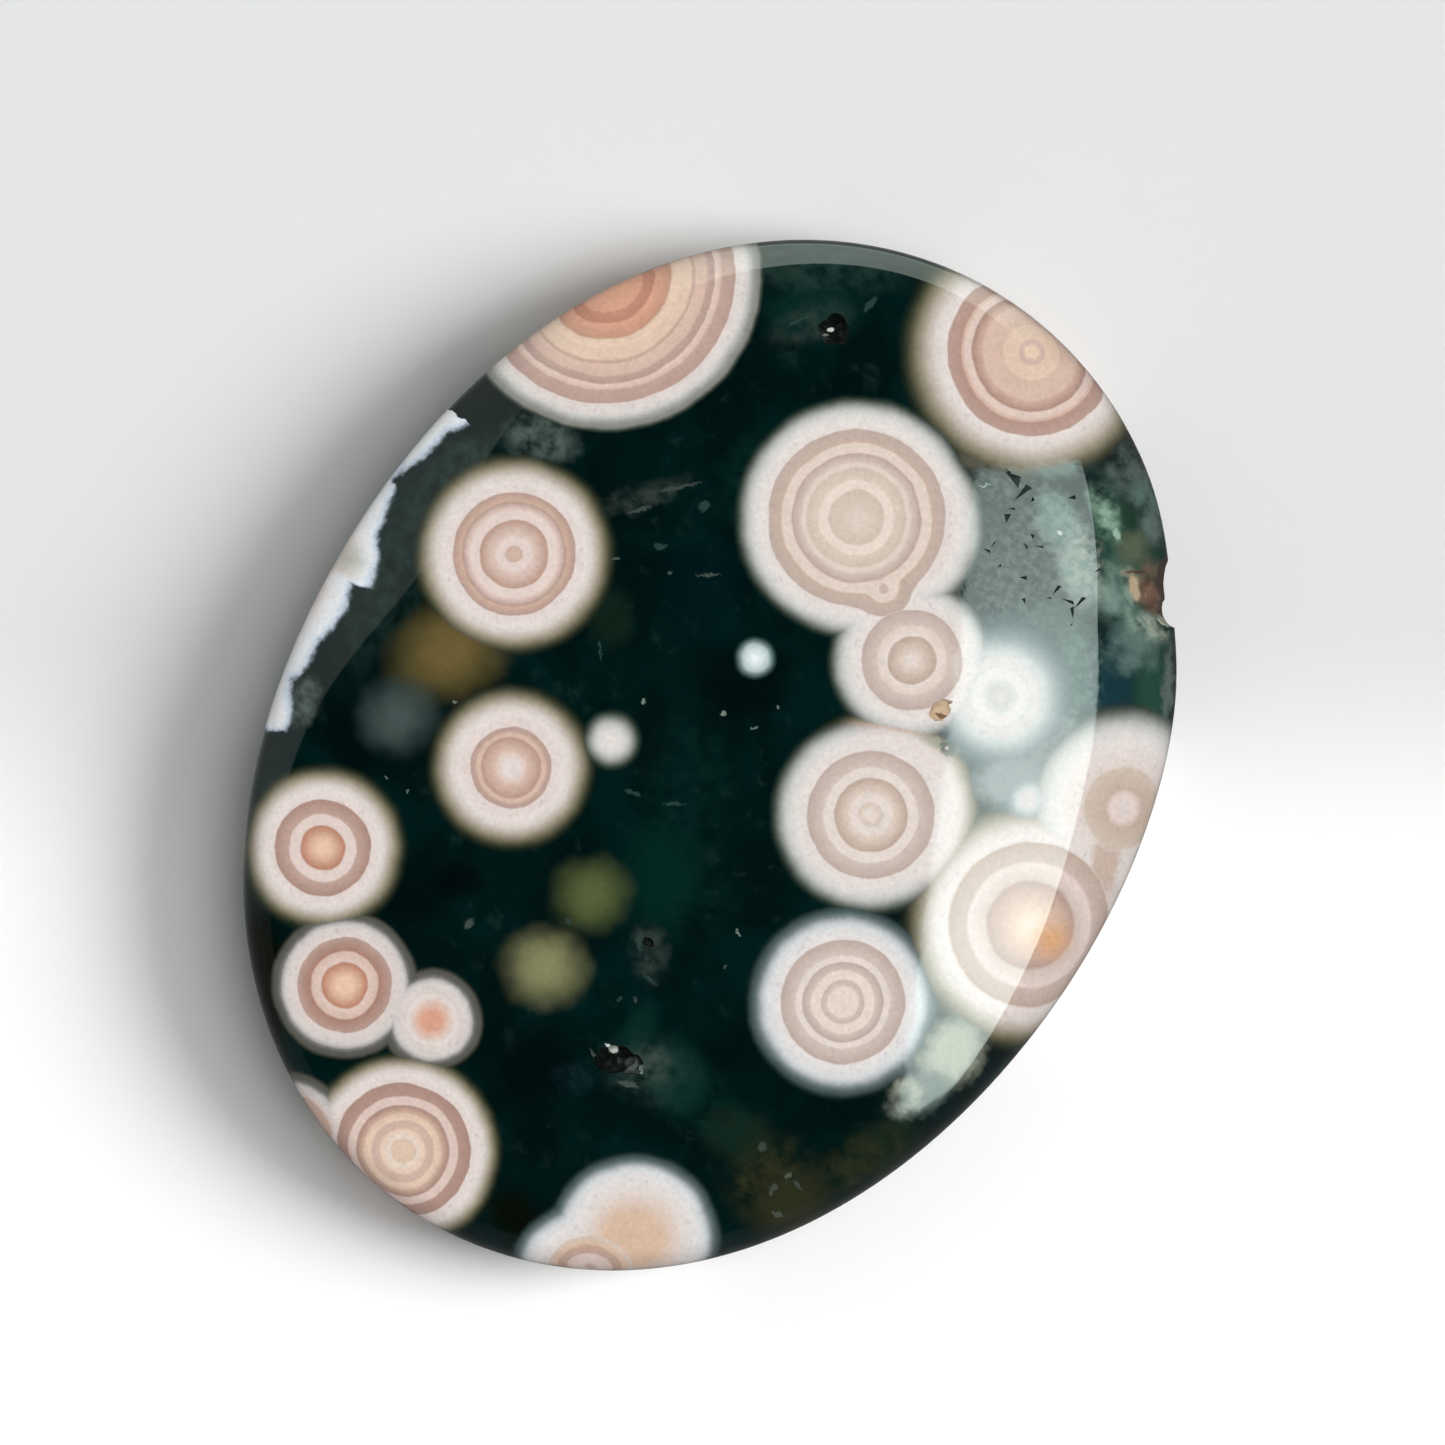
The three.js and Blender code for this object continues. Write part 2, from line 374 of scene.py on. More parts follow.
def fit_to_box(mesh, box):
    """Scales and moves a mesh in millimetres to fill a box in metres."""
    low = Vector([min(v.co[axis] for v in mesh.vertices) for axis in range(3)])
    high = Vector([max(v.co[axis] for v in mesh.vertices) for axis in range(3)])
    sizes = [(box[1][axis] - box[0][axis]) / (high[axis] - low[axis]) for axis in range(3)]
    scale = Matrix.Diagonal((*sizes, 1))
    mesh.transform(Matrix.Translation(box[0]) @ scale @ Matrix.Translation(-low))


def add_object(name, mesh):
    obj = bpy.data.objects.new(name, mesh)
    bpy.context.scene.collection.objects.link(obj)
    return obj


def carved(whole, material):
    """The whole stone with the missing pieces cut away, as one new mesh. The breaks get a material."""
    stone = add_object("uncut_stone", whole)
    tools = []
    for cut_round in range(CUT_ROUNDS):
        tool = add_object("cutting_shape", missing_pieces(material, cut_round))
        cut = stone.modifiers.new("cut", "BOOLEAN")
        cut.operation = "DIFFERENCE"
        cut.solver = "MANIFOLD"
        cut.material_mode = "TRANSFER"
        cut.object = tool
        tools.append(tool)
    graph = bpy.context.evaluated_depsgraph_get()
    mesh = bpy.data.meshes.new_from_object(stone.evaluated_get(graph))
    for spent in (stone, *tools):
        bpy.data.objects.remove(spent)
    mesh.name = "jasper_stone"
    mesh.shade_smooth()
    mesh.set_sharp_from_angle(angle=SHARP_EDGE)
    return mesh


def share_out_regions(mesh, regions):
    """Gives each polished face the material of its region. The broken material stays second."""
    for face in mesh.polygons:
        if face.material_index == 0:
            across = face.center.dot(PICTURE_RIGHT)
            place = sum(across > region[0] for region in regions) - 1
            face.material_index = place + (place > 0)


# Camera

def add_camera():
    """Looks straight down with the picture's up turned from the stone's length."""
    data = bpy.data.cameras.new("camera")
    data.sensor_width = SENSOR_WIDTH
    picture_width = PHOTO_SIZE / PIXELS_PER_MM
    data.lens = SENSOR_WIDTH * (CAMERA_HEIGHT - RIM_HEIGHT) / picture_width
    data.clip_end = CAMERA_REACH_METRES
    camera = add_object("camera", data)
    over = plan_of_pixel((PHOTO_SIZE / 2, PHOTO_SIZE / 2))
    camera.location = Vector((over.x, over.y, CAMERA_HEIGHT)) * MM
    camera.rotation_euler = Euler((0, 0, PICTURE_TURN))
    bpy.context.scene.camera = camera


# How strong the finer layers are of the noise that shakes a place, and the mean of a noise's colour.
SHAKE_ROUGHNESS = 0.6
MEAN_NOISE = (0.5, 0.5, 0.5)

# The places of a mix node's sockets for colours.
MIX_BELOW = 6
MIX_ABOVE = 7
MIX_RESULT = 2


class Nodes:
    """Short calls that build one node tree."""

    def __init__(self, tree):
        self.tree = tree
        tree.nodes.clear()

    def add(self, kind, inputs=None, **settings):
        node = self.tree.nodes.new(kind)
        for name, value in settings.items():
            setattr(node, name, value)
        for name, value in (inputs or {}).items():
            self.put(node.inputs[name], value)
        return node

    def finish(self, kind, shader):
        """Leads a shader to the tree's output."""
        self.tree.links.new(shader.outputs[0], self.add(kind).inputs[0])

    def put(self, socket, value):
        if isinstance(value, bpy.types.NodeSocket):
            self.tree.links.new(value, socket)
        else:
            socket.default_value = value

    def math(self, operation, *values):
        node = self.add("ShaderNodeMath", operation=operation)
        for socket, value in zip(node.inputs, values):
            self.put(socket, value)
        return node.outputs[0]

    def vector(self, operation, *values):
        node = self.add("ShaderNodeVectorMath", operation=operation)
        for socket, value in zip(node.inputs, values):
            self.put(socket, value)
        plain = operation in ("DISTANCE", "LENGTH", "DOT_PRODUCT")
        return node.outputs["Value" if plain else "Vector"]

    def scaled(self, vector, factor):
        node = self.add("ShaderNodeVectorMath", operation="SCALE")
        self.put(node.inputs[0], vector)
        self.put(node.inputs["Scale"], factor)
        return node.outputs[0]

    def mix(self, factor, below, above, blend="MIX"):
        node = self.add("ShaderNodeMix", data_type="RGBA", blend_type=blend)
        self.put(node.inputs[0], factor)
        self.put(node.inputs[MIX_BELOW], below)
        self.put(node.inputs[MIX_ABOVE], above)
        return node.outputs[MIX_RESULT]

    def steps(self, value, low, high, to_low=0.0, to_high=1.0, smooth=True):
        """Maps low..high to to_low..to_high, in a smooth step held at both ends or in proportion."""
        kind = "SMOOTHSTEP" if smooth else "LINEAR"
        node = self.add("ShaderNodeMapRange", interpolation_type=kind, clamp=False)
        for socket, number in zip(node.inputs, (value, low, high, to_low, to_high)):
            self.put(socket, number)
        return node.outputs[0]

    def ramp(self, value, stops):
        """A colour ramp through (position, colour) or (position, colour, alpha) stops."""
        node = self.add("ShaderNodeGroup", node_tree=ramp_group(stops))
        self.put(node.inputs[0], value)
        return node.outputs["Color"], node.outputs["Alpha"]

    def noise(self, place, scale, detail=2.0, roughness=0.5, distortion=0.0, lift=0.0):
        """Noise between 0 and 1 as (value, colour). A lift moves the place, for another pattern."""
        if lift:
            place = self.vector("ADD", place, (lift, -lift, 2 * lift))
        inputs = {"Scale": scale, "Detail": detail, "Roughness": roughness, "Distortion": distortion}
        node = self.add("ShaderNodeTexNoise", inputs={"Vector": place, **inputs})
        return node.outputs[0], node.outputs[1]

    def shaken(self, place, scale, amount, lift=0.0, detail=3):
        """A place moved about by noise, so that what is drawn there has uneven edges."""
        _, colour = self.noise(place, scale, detail=detail, roughness=SHAKE_ROUGHNESS, lift=lift)
        parts = self.add("ShaderNodeSeparateColor", inputs={"Color": colour}).outputs
        inputs = {axis: parts[index] for index, axis in enumerate("XYZ")}
        offset = self.add("ShaderNodeCombineXYZ", inputs=inputs).outputs[0]
        offset = self.vector("SUBTRACT", offset, MEAN_NOISE)
        return self.vector("ADD", place, self.scaled(offset, amount))


def ramp_group(stops):
    """A small node group that holds one colour ramp."""
    group = bpy.data.node_groups.new("colour_ramp", "ShaderNodeTree")
    group.interface.new_socket("Value", in_out="INPUT", socket_type="NodeSocketFloat")
    group.interface.new_socket("Color", in_out="OUTPUT", socket_type="NodeSocketColor")
    group.interface.new_socket("Alpha", in_out="OUTPUT", socket_type="NodeSocketFloat")
    nodes = Nodes(group)
    value = nodes.add("NodeGroupInput").outputs[0]
    ramp = nodes.add("ShaderNodeValToRGB", inputs={"Fac": value})
    elements = ramp.color_ramp.elements
    while len(elements) > 1:
        elements.remove(elements[-1])
    for index, (position, colour, *alpha) in enumerate(stops):
        element = elements[0] if index == 0 else elements.new(position)
        element.position = position
        element.color = (*colour[:3], *(alpha or (1.0,)))
    nodes.add("NodeGroupOutput", inputs={"Color": ramp.outputs["Color"], "Alpha": ramp.outputs["Alpha"]})
    return group


def new_material(name):
    material = bpy.data.materials.new(name)
    material.use_nodes = True
    return material, Nodes(material.node_tree)


def grey_stops(levels):
    """The stops of a ramp that holds plain levels."""
    return [(at, (level, level, level)) for at, level in levels]


def linear(red, green, blue):
    """A colour given as the 0 to 255 values of an sRGB screen, in the renderer's linear values."""
    def channel(value):
        part = value / 255
        return part / 12.92 if part <= 0.04045 else ((part + 0.055) / 1.055) ** 2.4
    return (channel(red), channel(green), channel(blue), 1.0)


# Light

# The softbox overhead: its distance in metres, its reach in degrees from straight up, its radiance,
# the share of it from the picture's bottom up, and its tint.
SOFTBOX_DISTANCE = 3.0
SOFTBOX_RIGHT = (11.9, 20.5)
SOFTBOX_UP = (-17.6, 11.4)
SOFTBOX_RADIANCE = 8.2
SOFTBOX_FADE = ((0.0, 0.7), (0.25, 0.87), (0.4, 0.66), (0.63, 0.63), (1.0, 0.45))
SOFTBOX_TINT = (0.82, 1.0, 0.96)

# A paler part of the wall at the picture's top, which the polish of the bevel there mirrors: its
# distance in metres, its direction from the picture's right and its lowest and highest edge in
# degrees, its width in metres, its radiance, the share of it from the lowest edge up, its tint and the
# share of its width that fades at each side.
WALL_LIGHT_DISTANCE = 3.0
WALL_LIGHT_AZIMUTH = 78
WALL_LIGHT_HEIGHTS = (-50, 60)
WALL_LIGHT_WIDTH = 4.0
WALL_LIGHT_RADIANCE = 2.3
WALL_LIGHT_FADE = ((0.0, 0.3), (0.21, 0.5), (0.41, 0.9), (1.0, 1.0))
WALL_LIGHT_TINT = (0.84, 1.0, 0.88)
WALL_LIGHT_SOFT_SIDES = 0.25

# Broad soft lights with no mirror image on the stone: the tilt from overhead towards the picture's
# right, the spread, and how bright a white sheet looks under it.
SOFT_LIGHTS = (
    {"name": "sheet_key", "tilt": 57, "spread": 32, "brightness": 0.61, "lights": "floor"},
    {"name": "sheet_fill", "tilt": 20, "spread": 46, "brightness": 0.285, "lights": "floor"},
    {"name": "stone_key", "tilt": 10, "spread": 50, "brightness": 0.87, "lights": "jasper_stone"},
)


def add_panel(name, size, radiance, fade, tint, soft_sides=0.0):
    """A rectangular light that shows only in polish, with shares of its radiance along its height."""
    data = bpy.data.lights.new(name, "AREA")
    data.shape = "RECTANGLE"
    data.size, data.size_y = size
    data.energy = radiance * size[0] * size[1] * math.pi
    data.color = tint
    data.use_nodes = True
    nodes = Nodes(data.node_tree)
    spot = nodes.add("ShaderNodeNewGeometry").outputs["Parametric"]
    across, upward, _ = nodes.add("ShaderNodeSeparateXYZ", inputs={"Vector": spot}).outputs
    strength, _ = nodes.ramp(upward, grey_stops(fade))
    if soft_sides:
        off_middle = nodes.math("ABSOLUTE", nodes.math("SUBTRACT", across, 0.5))
        strength = nodes.scaled(strength, nodes.steps(off_middle, 0.5, 0.5 - soft_sides))
    emission = nodes.add("ShaderNodeEmission", inputs={"Strength": strength})
    nodes.finish("ShaderNodeOutputLight", emission)
    light = add_object(name, data)
    light.visible_diffuse = False
    return light


def add_softbox():
    """A rectangular light overhead, whose mirror image is the pale band on the stone's face."""
    reach = [math.tan(math.radians(a)) * SOFTBOX_DISTANCE for a in SOFTBOX_RIGHT + SOFTBOX_UP]
    size = (reach[1] - reach[0], reach[3] - reach[2])
    light = add_panel("softbox", size, SOFTBOX_RADIANCE, SOFTBOX_FADE, SOFTBOX_TINT)
    place = PICTURE_RIGHT * (reach[0] + reach[1]) / 2 + PICTURE_UP * (reach[2] + reach[3]) / 2
    light.location = place + Vector((0, 0, SOFTBOX_DISTANCE))
    light.rotation_euler = Euler((0, 0, PICTURE_TURN))


def add_wall_light():
    low, high = [math.tan(math.radians(a)) * WALL_LIGHT_DISTANCE for a in WALL_LIGHT_HEIGHTS]
    size = (WALL_LIGHT_WIDTH, high - low)
    light = add_panel("wall_light", size, WALL_LIGHT_RADIANCE, WALL_LIGHT_FADE, WALL_LIGHT_TINT,
                      WALL_LIGHT_SOFT_SIDES)
    towards = picture_direction(WALL_LIGHT_AZIMUTH)
    light.location = towards * WALL_LIGHT_DISTANCE + Vector((0, 0, (low + high) / 2))
    light.rotation_euler = towards.to_track_quat("Z", "Y").to_euler()


def add_soft_light(plan):
    tilt = math.radians(plan["tilt"])
    data = bpy.data.lights.new(plan["name"], "SUN")
    data.angle = math.radians(plan["spread"])
    data.energy = plan["brightness"] * math.pi / math.cos(tilt)
    light = add_object(plan["name"], data)
    towards = PICTURE_RIGHT * math.sin(tilt) + Vector((0, 0, math.cos(tilt)))
    light.rotation_euler = towards.to_track_quat("Z", "Y").to_euler()
    light.visible_glossy = False
    lit = bpy.data.collections.new(plan["name"] + "_lights")
    lit.objects.link(bpy.data.objects[plan["lights"]])
    light.light_linking.receiver_collection = lit


# World

# The room's greys by the height of a direction, from 0 at the horizon to 1 at the zenith.
ROOM_GREYS = ((0.0, 0.12), (0.05, 0.2), (0.15, 0.11), (0.82, 0.11), (0.92, 0.006))

# The pale wall: its colour, the direction of its middle from the picture's right, the cosines between
# which it fades in at each side, the heights where it ends, and what is left of it at the bottom.
WALL_COLOUR = (0.43, 0.46, 0.44, 1)
WALL_AZIMUTH = 115
WALL_SIDES = (0.3, 0.48)
WALL_TOP = (0.9, 0.8)
WALL_BOTTOM = (-0.7, 0.2)
WALL_BOTTOM_SHARE = 0.3


def add_world():
    """A dim room with a paler horizon and a broad pale wall to the picture's left and top."""
    world = bpy.data.worlds.new("studio")
    bpy.context.scene.world = world
    world.use_nodes = True
    nodes = Nodes(world.node_tree)
    direction = nodes.add("ShaderNodeTexCoord").outputs["Generated"]
    height = nodes.add("ShaderNodeSeparateXYZ", inputs={"Vector": direction}).outputs["Z"]
    room, _ = nodes.ramp(height, grey_stops(ROOM_GREYS))
    level = nodes.vector("NORMALIZE", nodes.vector("MULTIPLY", direction, (1, 1, 0)))
    side = nodes.vector("DOT_PRODUCT", level, tuple(picture_direction(WALL_AZIMUTH)))
    on_side = nodes.steps(side, *WALL_SIDES)
    off_top = nodes.steps(height, *WALL_TOP)
    off_bottom = nodes.steps(height, *WALL_BOTTOM, WALL_BOTTOM_SHARE, 1)
    wall = nodes.math("MULTIPLY", nodes.math("MULTIPLY", on_side, off_top), off_bottom)
    colour = nodes.mix(wall, room, WALL_COLOUR)
    background = nodes.add("ShaderNodeBackground", inputs={"Color": colour, "Strength": 1.0})
    nodes.finish("ShaderNodeOutputWorld", background)


# Floor

# The sheet's radius in metres, and its colour before and after it turns whiter, between two distances
# from the stone's middle up the picture.
FLOOR_RADIUS = 12.0
FLOOR_CORNERS = 96
FLOOR_GREY = linear(223, 223, 223)
FLOOR_WHITE = linear(253, 253, 253)
FLOOR_TURN_WHITE = (10.0, -11.0)


def place_in_mm(nodes):
    return nodes.scaled(nodes.add("ShaderNodeTexCoord").outputs["Object"], 1 / MM)


def add_floor():
    """A plain pale sheet, a little whiter towards the bottom, that the stone's polish doesn't mirror."""
    angles = [math.tau * corner / FLOOR_CORNERS for corner in range(FLOOR_CORNERS)]
    points = [(FLOOR_RADIUS * math.cos(a), FLOOR_RADIUS * math.sin(a), 0) for a in angles]
    mesh = bpy.data.meshes.new("floor")
    mesh.from_pydata(points, [], [range(FLOOR_CORNERS)])
    floor = add_object("floor", mesh)
    floor.visible_glossy = False
    material, nodes = new_material("pale_sheet")
    upward = nodes.vector("DOT_PRODUCT", place_in_mm(nodes), tuple(PICTURE_UP))
    share = nodes.steps(upward, *FLOOR_TURN_WHITE)
    colour = nodes.mix(share, FLOOR_GREY, FLOOR_WHITE)
    shader = nodes.add("ShaderNodeBsdfDiffuse", inputs={"Color": colour})
    nodes.finish("ShaderNodeOutputMaterial", shader)
    mesh.materials.append(material)


# Jasper colours, as they would look on a screen.
COLOURS = {name: linear(*rgb) for name, rgb in {
    # Rings
    "bright orange": (232, 173, 142), "orange": (218, 163, 138), "deep orange": (205, 157, 133),
    "coral": (197, 139, 116), "light orange": (236, 198, 173), "peach": (218, 187, 163),
    "light peach": (231, 203, 181), "cream": (224, 197, 177), "light cream": (232, 215, 203),
    "beige": (218, 201, 186), "pale beige": (224, 207, 195), "tan": (199, 176, 162),
    "rosy tan": (205, 173, 155), "rose": (213, 183, 167), "pink": (216, 187, 174),
    "pale pink": (223, 199, 189), "milky pink": (227, 209, 202), "mauve": (193, 163, 152),
    "deep mauve": (181, 147, 135), "dark mauve": (170, 129, 116), "pale mauve": (210, 193, 184),
    "warm mauve": (196, 160, 144), "grey mauve": (200, 180, 171), "amber": (222, 168, 122),
    "milk": (228, 215, 208), "white": (227, 217, 212), "lilac white": (221, 211, 210),
    "dull white": (208, 205, 198), "bright white": (220, 217, 213),
    # Clear ground between the orbs, and what clouds it
    "deep ground": (0, 17, 16), "clear ground": (1, 28, 27), "blue ground": (1, 23, 28),
    "black ground": (1, 11, 12), "green ground": (4, 42, 33), "teal ground": (9, 42, 37),
    "blue veil": (20, 42, 48), "moss": (22, 38, 26), "brown green": (46, 48, 30),
    "dark brown": (8, 11, 3), "olive brown": (106, 92, 52), "olive": (86, 96, 57),
    "yellow olive": (132, 132, 93), "grey blue": (70, 84, 82), "grey green": (78, 88, 82),
    # The pale flecks also serve as painted glints in and by the hollows.
    "veil": (44, 66, 60), "fleck": (122, 138, 128), "bright fleck and glint": (214, 222, 214),
    "lilac fleck": (190, 170, 178),
    # Clouded ground by the right rim
    "milky green": (126, 150, 138), "pale green": (92, 116, 110), "milky blue": (150, 160, 159),
    "milky cream": (168, 172, 154), "rim green": (34, 68, 56), "rim teal": (14, 50, 58),
    "light streak": (150, 182, 160), "rim olive": (84, 94, 74), "rim grey": (92, 106, 100),
    "gap brown": (84, 83, 72), "pit grey": (46, 58, 55),
    # Broken places
    "break dark": (7, 12, 10), "break grey": (38, 47, 43), "chip tan": (178, 160, 132),
    "chip red": (120, 92, 78), "chip brown": (72, 56, 44), "crumb tan": (204, 178, 150),
    "crumb brown": (120, 88, 62),
}.items()}

# Each ringed orb: the pixel of its middle; its rings from the middle out, as the outer radius and one
# colour or the inner and the outer one; how far its white zone reaches; how its halo fades and how
# widely. Rings are blurred more where a blur is given.
ORBS = (
    {"name": "top left", "pixel": (605.8, 274.3), "white": 9.05, "halo": "shelf", "rings": (
        (2.4, "bright orange", "orange"), (3.15, "coral"), (4.18, "orange", "deep orange"),
        (4.72, "cream", "light peach"), (5.48, "cream"), (5.7, "rosy tan"), (6.48, "pink", "rose"),
        (7, "mauve"), (7.42, "pale pink", "pink"), (8.34, "mauve"))},
    {"name": "top right", "pixel": (1032.2, 351.3), "white": 6.2, "halo": "warm", "spread": 1.5,
     "rings": (
         (0.45, "light peach"), (0.85, "pink"), (1.85, "cream"), (3.15, "rose", "pink"),
         (3.85, "rosy tan", "deep mauve"), (4.32, "pale pink"), (4.52, "rose"),
         (5.45, "deep mauve", "mauve"))},
    {"name": "large middle", "pixel": (856.6, 517.9), "white": 6.6, "halo": "plain", "rings": (
        (1.8, "pale beige", "beige"), (2.42, "light cream"), (3.2, "beige"), (3.52, "pale beige"),
        (4.15, "pale mauve", "tan"), (4.82, "pale beige"),
        (5.72, "tan", "grey mauve")), "bulge": ((884, 589), 1.8)},
    {"name": "large middle side", "pixel": (882, 524), "white": 5.45, "halo": "plain", "rings": ()},
    {"name": "small middle", "pixel": (911.6, 660.3), "white": 4.15, "halo": "plain", "rings": (
        (0.4, "milk"), (1.57, "pale beige", "tan"), (2.25, "milk", "pale beige"),
        (3.25, "pale mauve", "grey mauve"))},
    {"name": "lower middle", "pixel": (870.7, 814.9), "white": 5.1, "halo": "plain", "spread": 1.1,
     "rings": (
         (0.4, "milk"), (0.8, "pale beige"), (1.35, "milk"), (2.36, "pale beige", "tan"), (3.05, "milk"),
         (4.12, "pale mauve", "grey mauve"))},
    {"name": "lower middle side", "pixel": (882, 810), "white": 5.1, "halo": "warm", "rings": ()},
    {"name": "bottom middle", "pixel": (843.2, 1002.1), "white": 4.85, "halo": "cool", "spread": 1.15,
     "rings": (
         (1.02, "light cream"), (1.42, "pale mauve"), (2.05, "light cream"),
         (2.6, "pale mauve", "grey mauve"), (3.02, "milk"), (4.0, "pale mauve", "grey mauve"))},
    {"name": "lower right", "pixel": (1031, 925), "white": 6.2, "halo": "warm", "spread": 1.4,
     "blur": 0.12, "rings": (
         (0.9, "light cream", "light peach"), (2.85, "cream", "mauve"),
         (4.05, "pale mauve", "milky pink"), (5.35, "grey mauve", "tan"))},
    {"name": "right rim", "pixel": (1126, 809), "white": 4.9, "halo": "plain", "spread": 1.55,
     "blur": 0.2, "rings": ((1.15, "lilac white", "milky pink"), (2.8, "tan", "beige"))},
    {"name": "white right", "pixel": (1000, 697), "white": 2.95, "halo": "veiled", "spread": 1.5,
     "blur": 0.3, "rings": (
         (0.9, "dull white"), (1.5, "bright white", "white"), (2.2, "bright white"))},
    {"name": "small white right", "pixel": (1029, 800), "white": 0.75, "halo": "veiled", "rings": ()},
    {"name": "upper left", "pixel": (514.1, 554.0), "white": 5.0, "halo": "warm", "rings": (
        (0.55, "pink", "rose"), (1.12, "milky pink"), (2.2, "pale pink", "warm mauve"),
        (2.82, "milky pink"), (3.35, "pale pink", "mauve"), (3.96, "rosy tan", "mauve"))},
    {"name": "left", "pixel": (511.0, 767.6), "white": 3.85, "halo": "warm", "rings": (
        (0.45, "white"), (1.0, "milk", "pale pink"), (1.95, "pink", "warm mauve"), (2.25, "rose"),
        (2.62, "mauve"))},
    {"name": "far left", "pixel": (322.4, 848.0), "white": 4.05, "halo": "warm", "spread": 0.9,
     "rings": (
         (0.35, "light orange"), (1.45, "light orange", "coral"), (2.17, "milky pink"),
         (3.12, "mauve", "deep mauve"))},
    {"name": "lower left", "pixel": (344.3, 985.4), "white": 3.8, "halo": "stepped", "rings": (
        (0.45, "light orange"), (1.48, "light orange", "coral"), (2.18, "pale pink", "pink"),
        (3.08, "dark mauve", "mauve"))},
    {"name": "lower left twin", "pixel": (431.8, 1020.2), "white": 2.35, "halo": "stepped",
     "rings": ((0.55, "orange"), (1.65, "orange", "white"))},
    {"name": "bottom left", "pixel": (402.2, 1151.5), "white": 5.25, "halo": "warm", "spread": 0.75,
     "rings": (
         (0.8, "light peach"), (1.45, "light cream", "light peach"), (2.0, "rose", "pink"),
         (2.45, "light peach", "cream"), (2.98, "rosy tan", "deep mauve"), (3.55, "pale pink"),
         (4.4, "deep mauve"))},
    {"name": "bottom", "pixel": (634, 1240), "white": 4.45, "halo": "cool", "rings": (
        (1.6, "peach"), (3.3, "peach", "white"))},
    {"name": "bottom rim", "pixel": (589, 1282), "white": 4.15, "halo": "cool", "rings": (
        (0.6, "lilac white"), (1.1, "tan", "rosy tan"), (1.8, "milky pink", "pale pink"),
        (2.35, "mauve", "rosy tan"), (2.95, "peach", "pale beige"))},
    {"name": "left rim", "pixel": (285, 1140), "white": 3.45, "halo": "stepped", "rings": (
        (2.95, "rose"), (3.1, "milky pink"))},
    {"name": "left dot", "pixel": (611, 740), "white": 0.7, "halo": "plain", "rings": ()},
    {"name": "middle dot", "pixel": (755.5, 658), "white": 0.82, "halo": "glow", "spread": 0.5,
     "rings": ()},
)

# Orbs of the back, which the photograph doesn't show: the middle in the stone's own plan, and the
# front orb whose rings they are like.
BACK_ORBS = (
    {"name": "back upper", "at": (8.5, 14), "like": "upper left"},
    {"name": "back left", "at": (-17, 3), "like": "bottom left"},
    {"name": "back middle", "at": (3.5, -3.5), "like": "small middle"},
    {"name": "back lower", "at": (-6.5, -18), "like": "lower middle"},
    {"name": "back low rim", "at": (13, -22), "like": "lower left"},
    {"name": "back dot", "at": (-6, 8.5), "like": "middle dot"},
)

# How a halo fades past the white zone: distance, colour and, where it isn't full, its cover.
HALOS = {
    "plain": (
        (-1.4, (226, 212, 206)), (-0.4, (228, 220, 216)), (0, (217, 214, 211)), (0.25, (203, 201, 198)),
        (0.45, (182, 182, 178)), (0.65, (146, 149, 145)), (0.85, (101, 107, 102)),
        (1.04, (58, 68, 61), 0.9), (1.22, (30, 44, 38), 0.6), (1.4, (12, 30, 26), 0)),
    "warm": (
        (-1.4, (226, 209, 203)), (-0.4, (229, 218, 214)), (0, (216, 206, 200)), (0.2, (199, 188, 179)),
        (0.4, (181, 170, 156)), (0.6, (155, 146, 129)), (0.8, (127, 121, 101)), (1, (96, 93, 74), 0.95),
        (1.2, (64, 66, 50), 0.85), (1.4, (42, 46, 33), 0.6), (1.7, (20, 28, 18), 0)),
    "cool": (
        (-1.4, (226, 214, 209)), (-0.5, (229, 224, 222)), (0, (217, 218, 219)), (0.18, (202, 205, 207)),
        (0.36, (171, 177, 180)), (0.55, (121, 131, 133)), (0.75, (84, 98, 98)), (0.95, (64, 80, 80), 0.9),
        (1.14, (34, 50, 48), 0.6), (1.33, (12, 28, 26), 0)),
    "stepped": (
        (-0.9, (224, 207, 202)), (-0.35, (220, 208, 204)), (0, (212, 205, 202)), (0.18, (186, 181, 178)),
        (0.36, (122, 119, 116)), (0.54, (92, 92, 87)), (0.76, (86, 86, 79)), (0.92, (54, 56, 49), 0.9),
        (1.1, (20, 26, 20), 0)),
    "shelf": (
        (-0.8, (222, 208, 204)), (-0.3, (222, 213, 209)), (0, (212, 207, 204)), (0.2, (190, 188, 184)),
        (0.4, (163, 162, 159)), (0.6, (140, 141, 136)), (0.8, (132, 132, 126)), (0.98, (64, 72, 64), 0.9),
        (1.18, (30, 42, 34), 0)),
    "glow": (
        (-1.4, (232, 240, 240)), (-0.6, (206, 218, 218)), (0, (180, 197, 196)), (0.45, (108, 128, 127)),
        (0.9, (44, 68, 66), 0.9), (1.3, (16, 38, 36), 0)),
    "veiled": (
        (-1, (214, 206, 201)), (-0.3, (210, 206, 203)), (0, (194, 198, 198)),
        (0.35, (160, 168, 168), 0.9), (0.8, (118, 132, 134), 0.75), (1.3, (74, 92, 94), 0.5),
        (1.9, (40, 58, 58), 0)),
}

# The distances that the halos lie between, and how softly halos and a bulge melt together.
HALO_INSIDE = -1.4
HALO_OUTSIDE = 2.0
ORB_MERGE = 0.14
BULGE_MERGE = 1.1

# An orb's depth counts for less than its width, as the orbs are taller than they are wide.
DEPTH_SHARE = 0.55

# How far a ring's edge is blurred to each side, where an orb doesn't say.
RING_BLUR = 0.06

# How dark a ring's outline is, and how much red, green and blue count in telling which ring is lighter.
OUTLINE_SHADE = 0.9
LIGHTNESS_SHARES = (0.3, 0.59, 0.11)

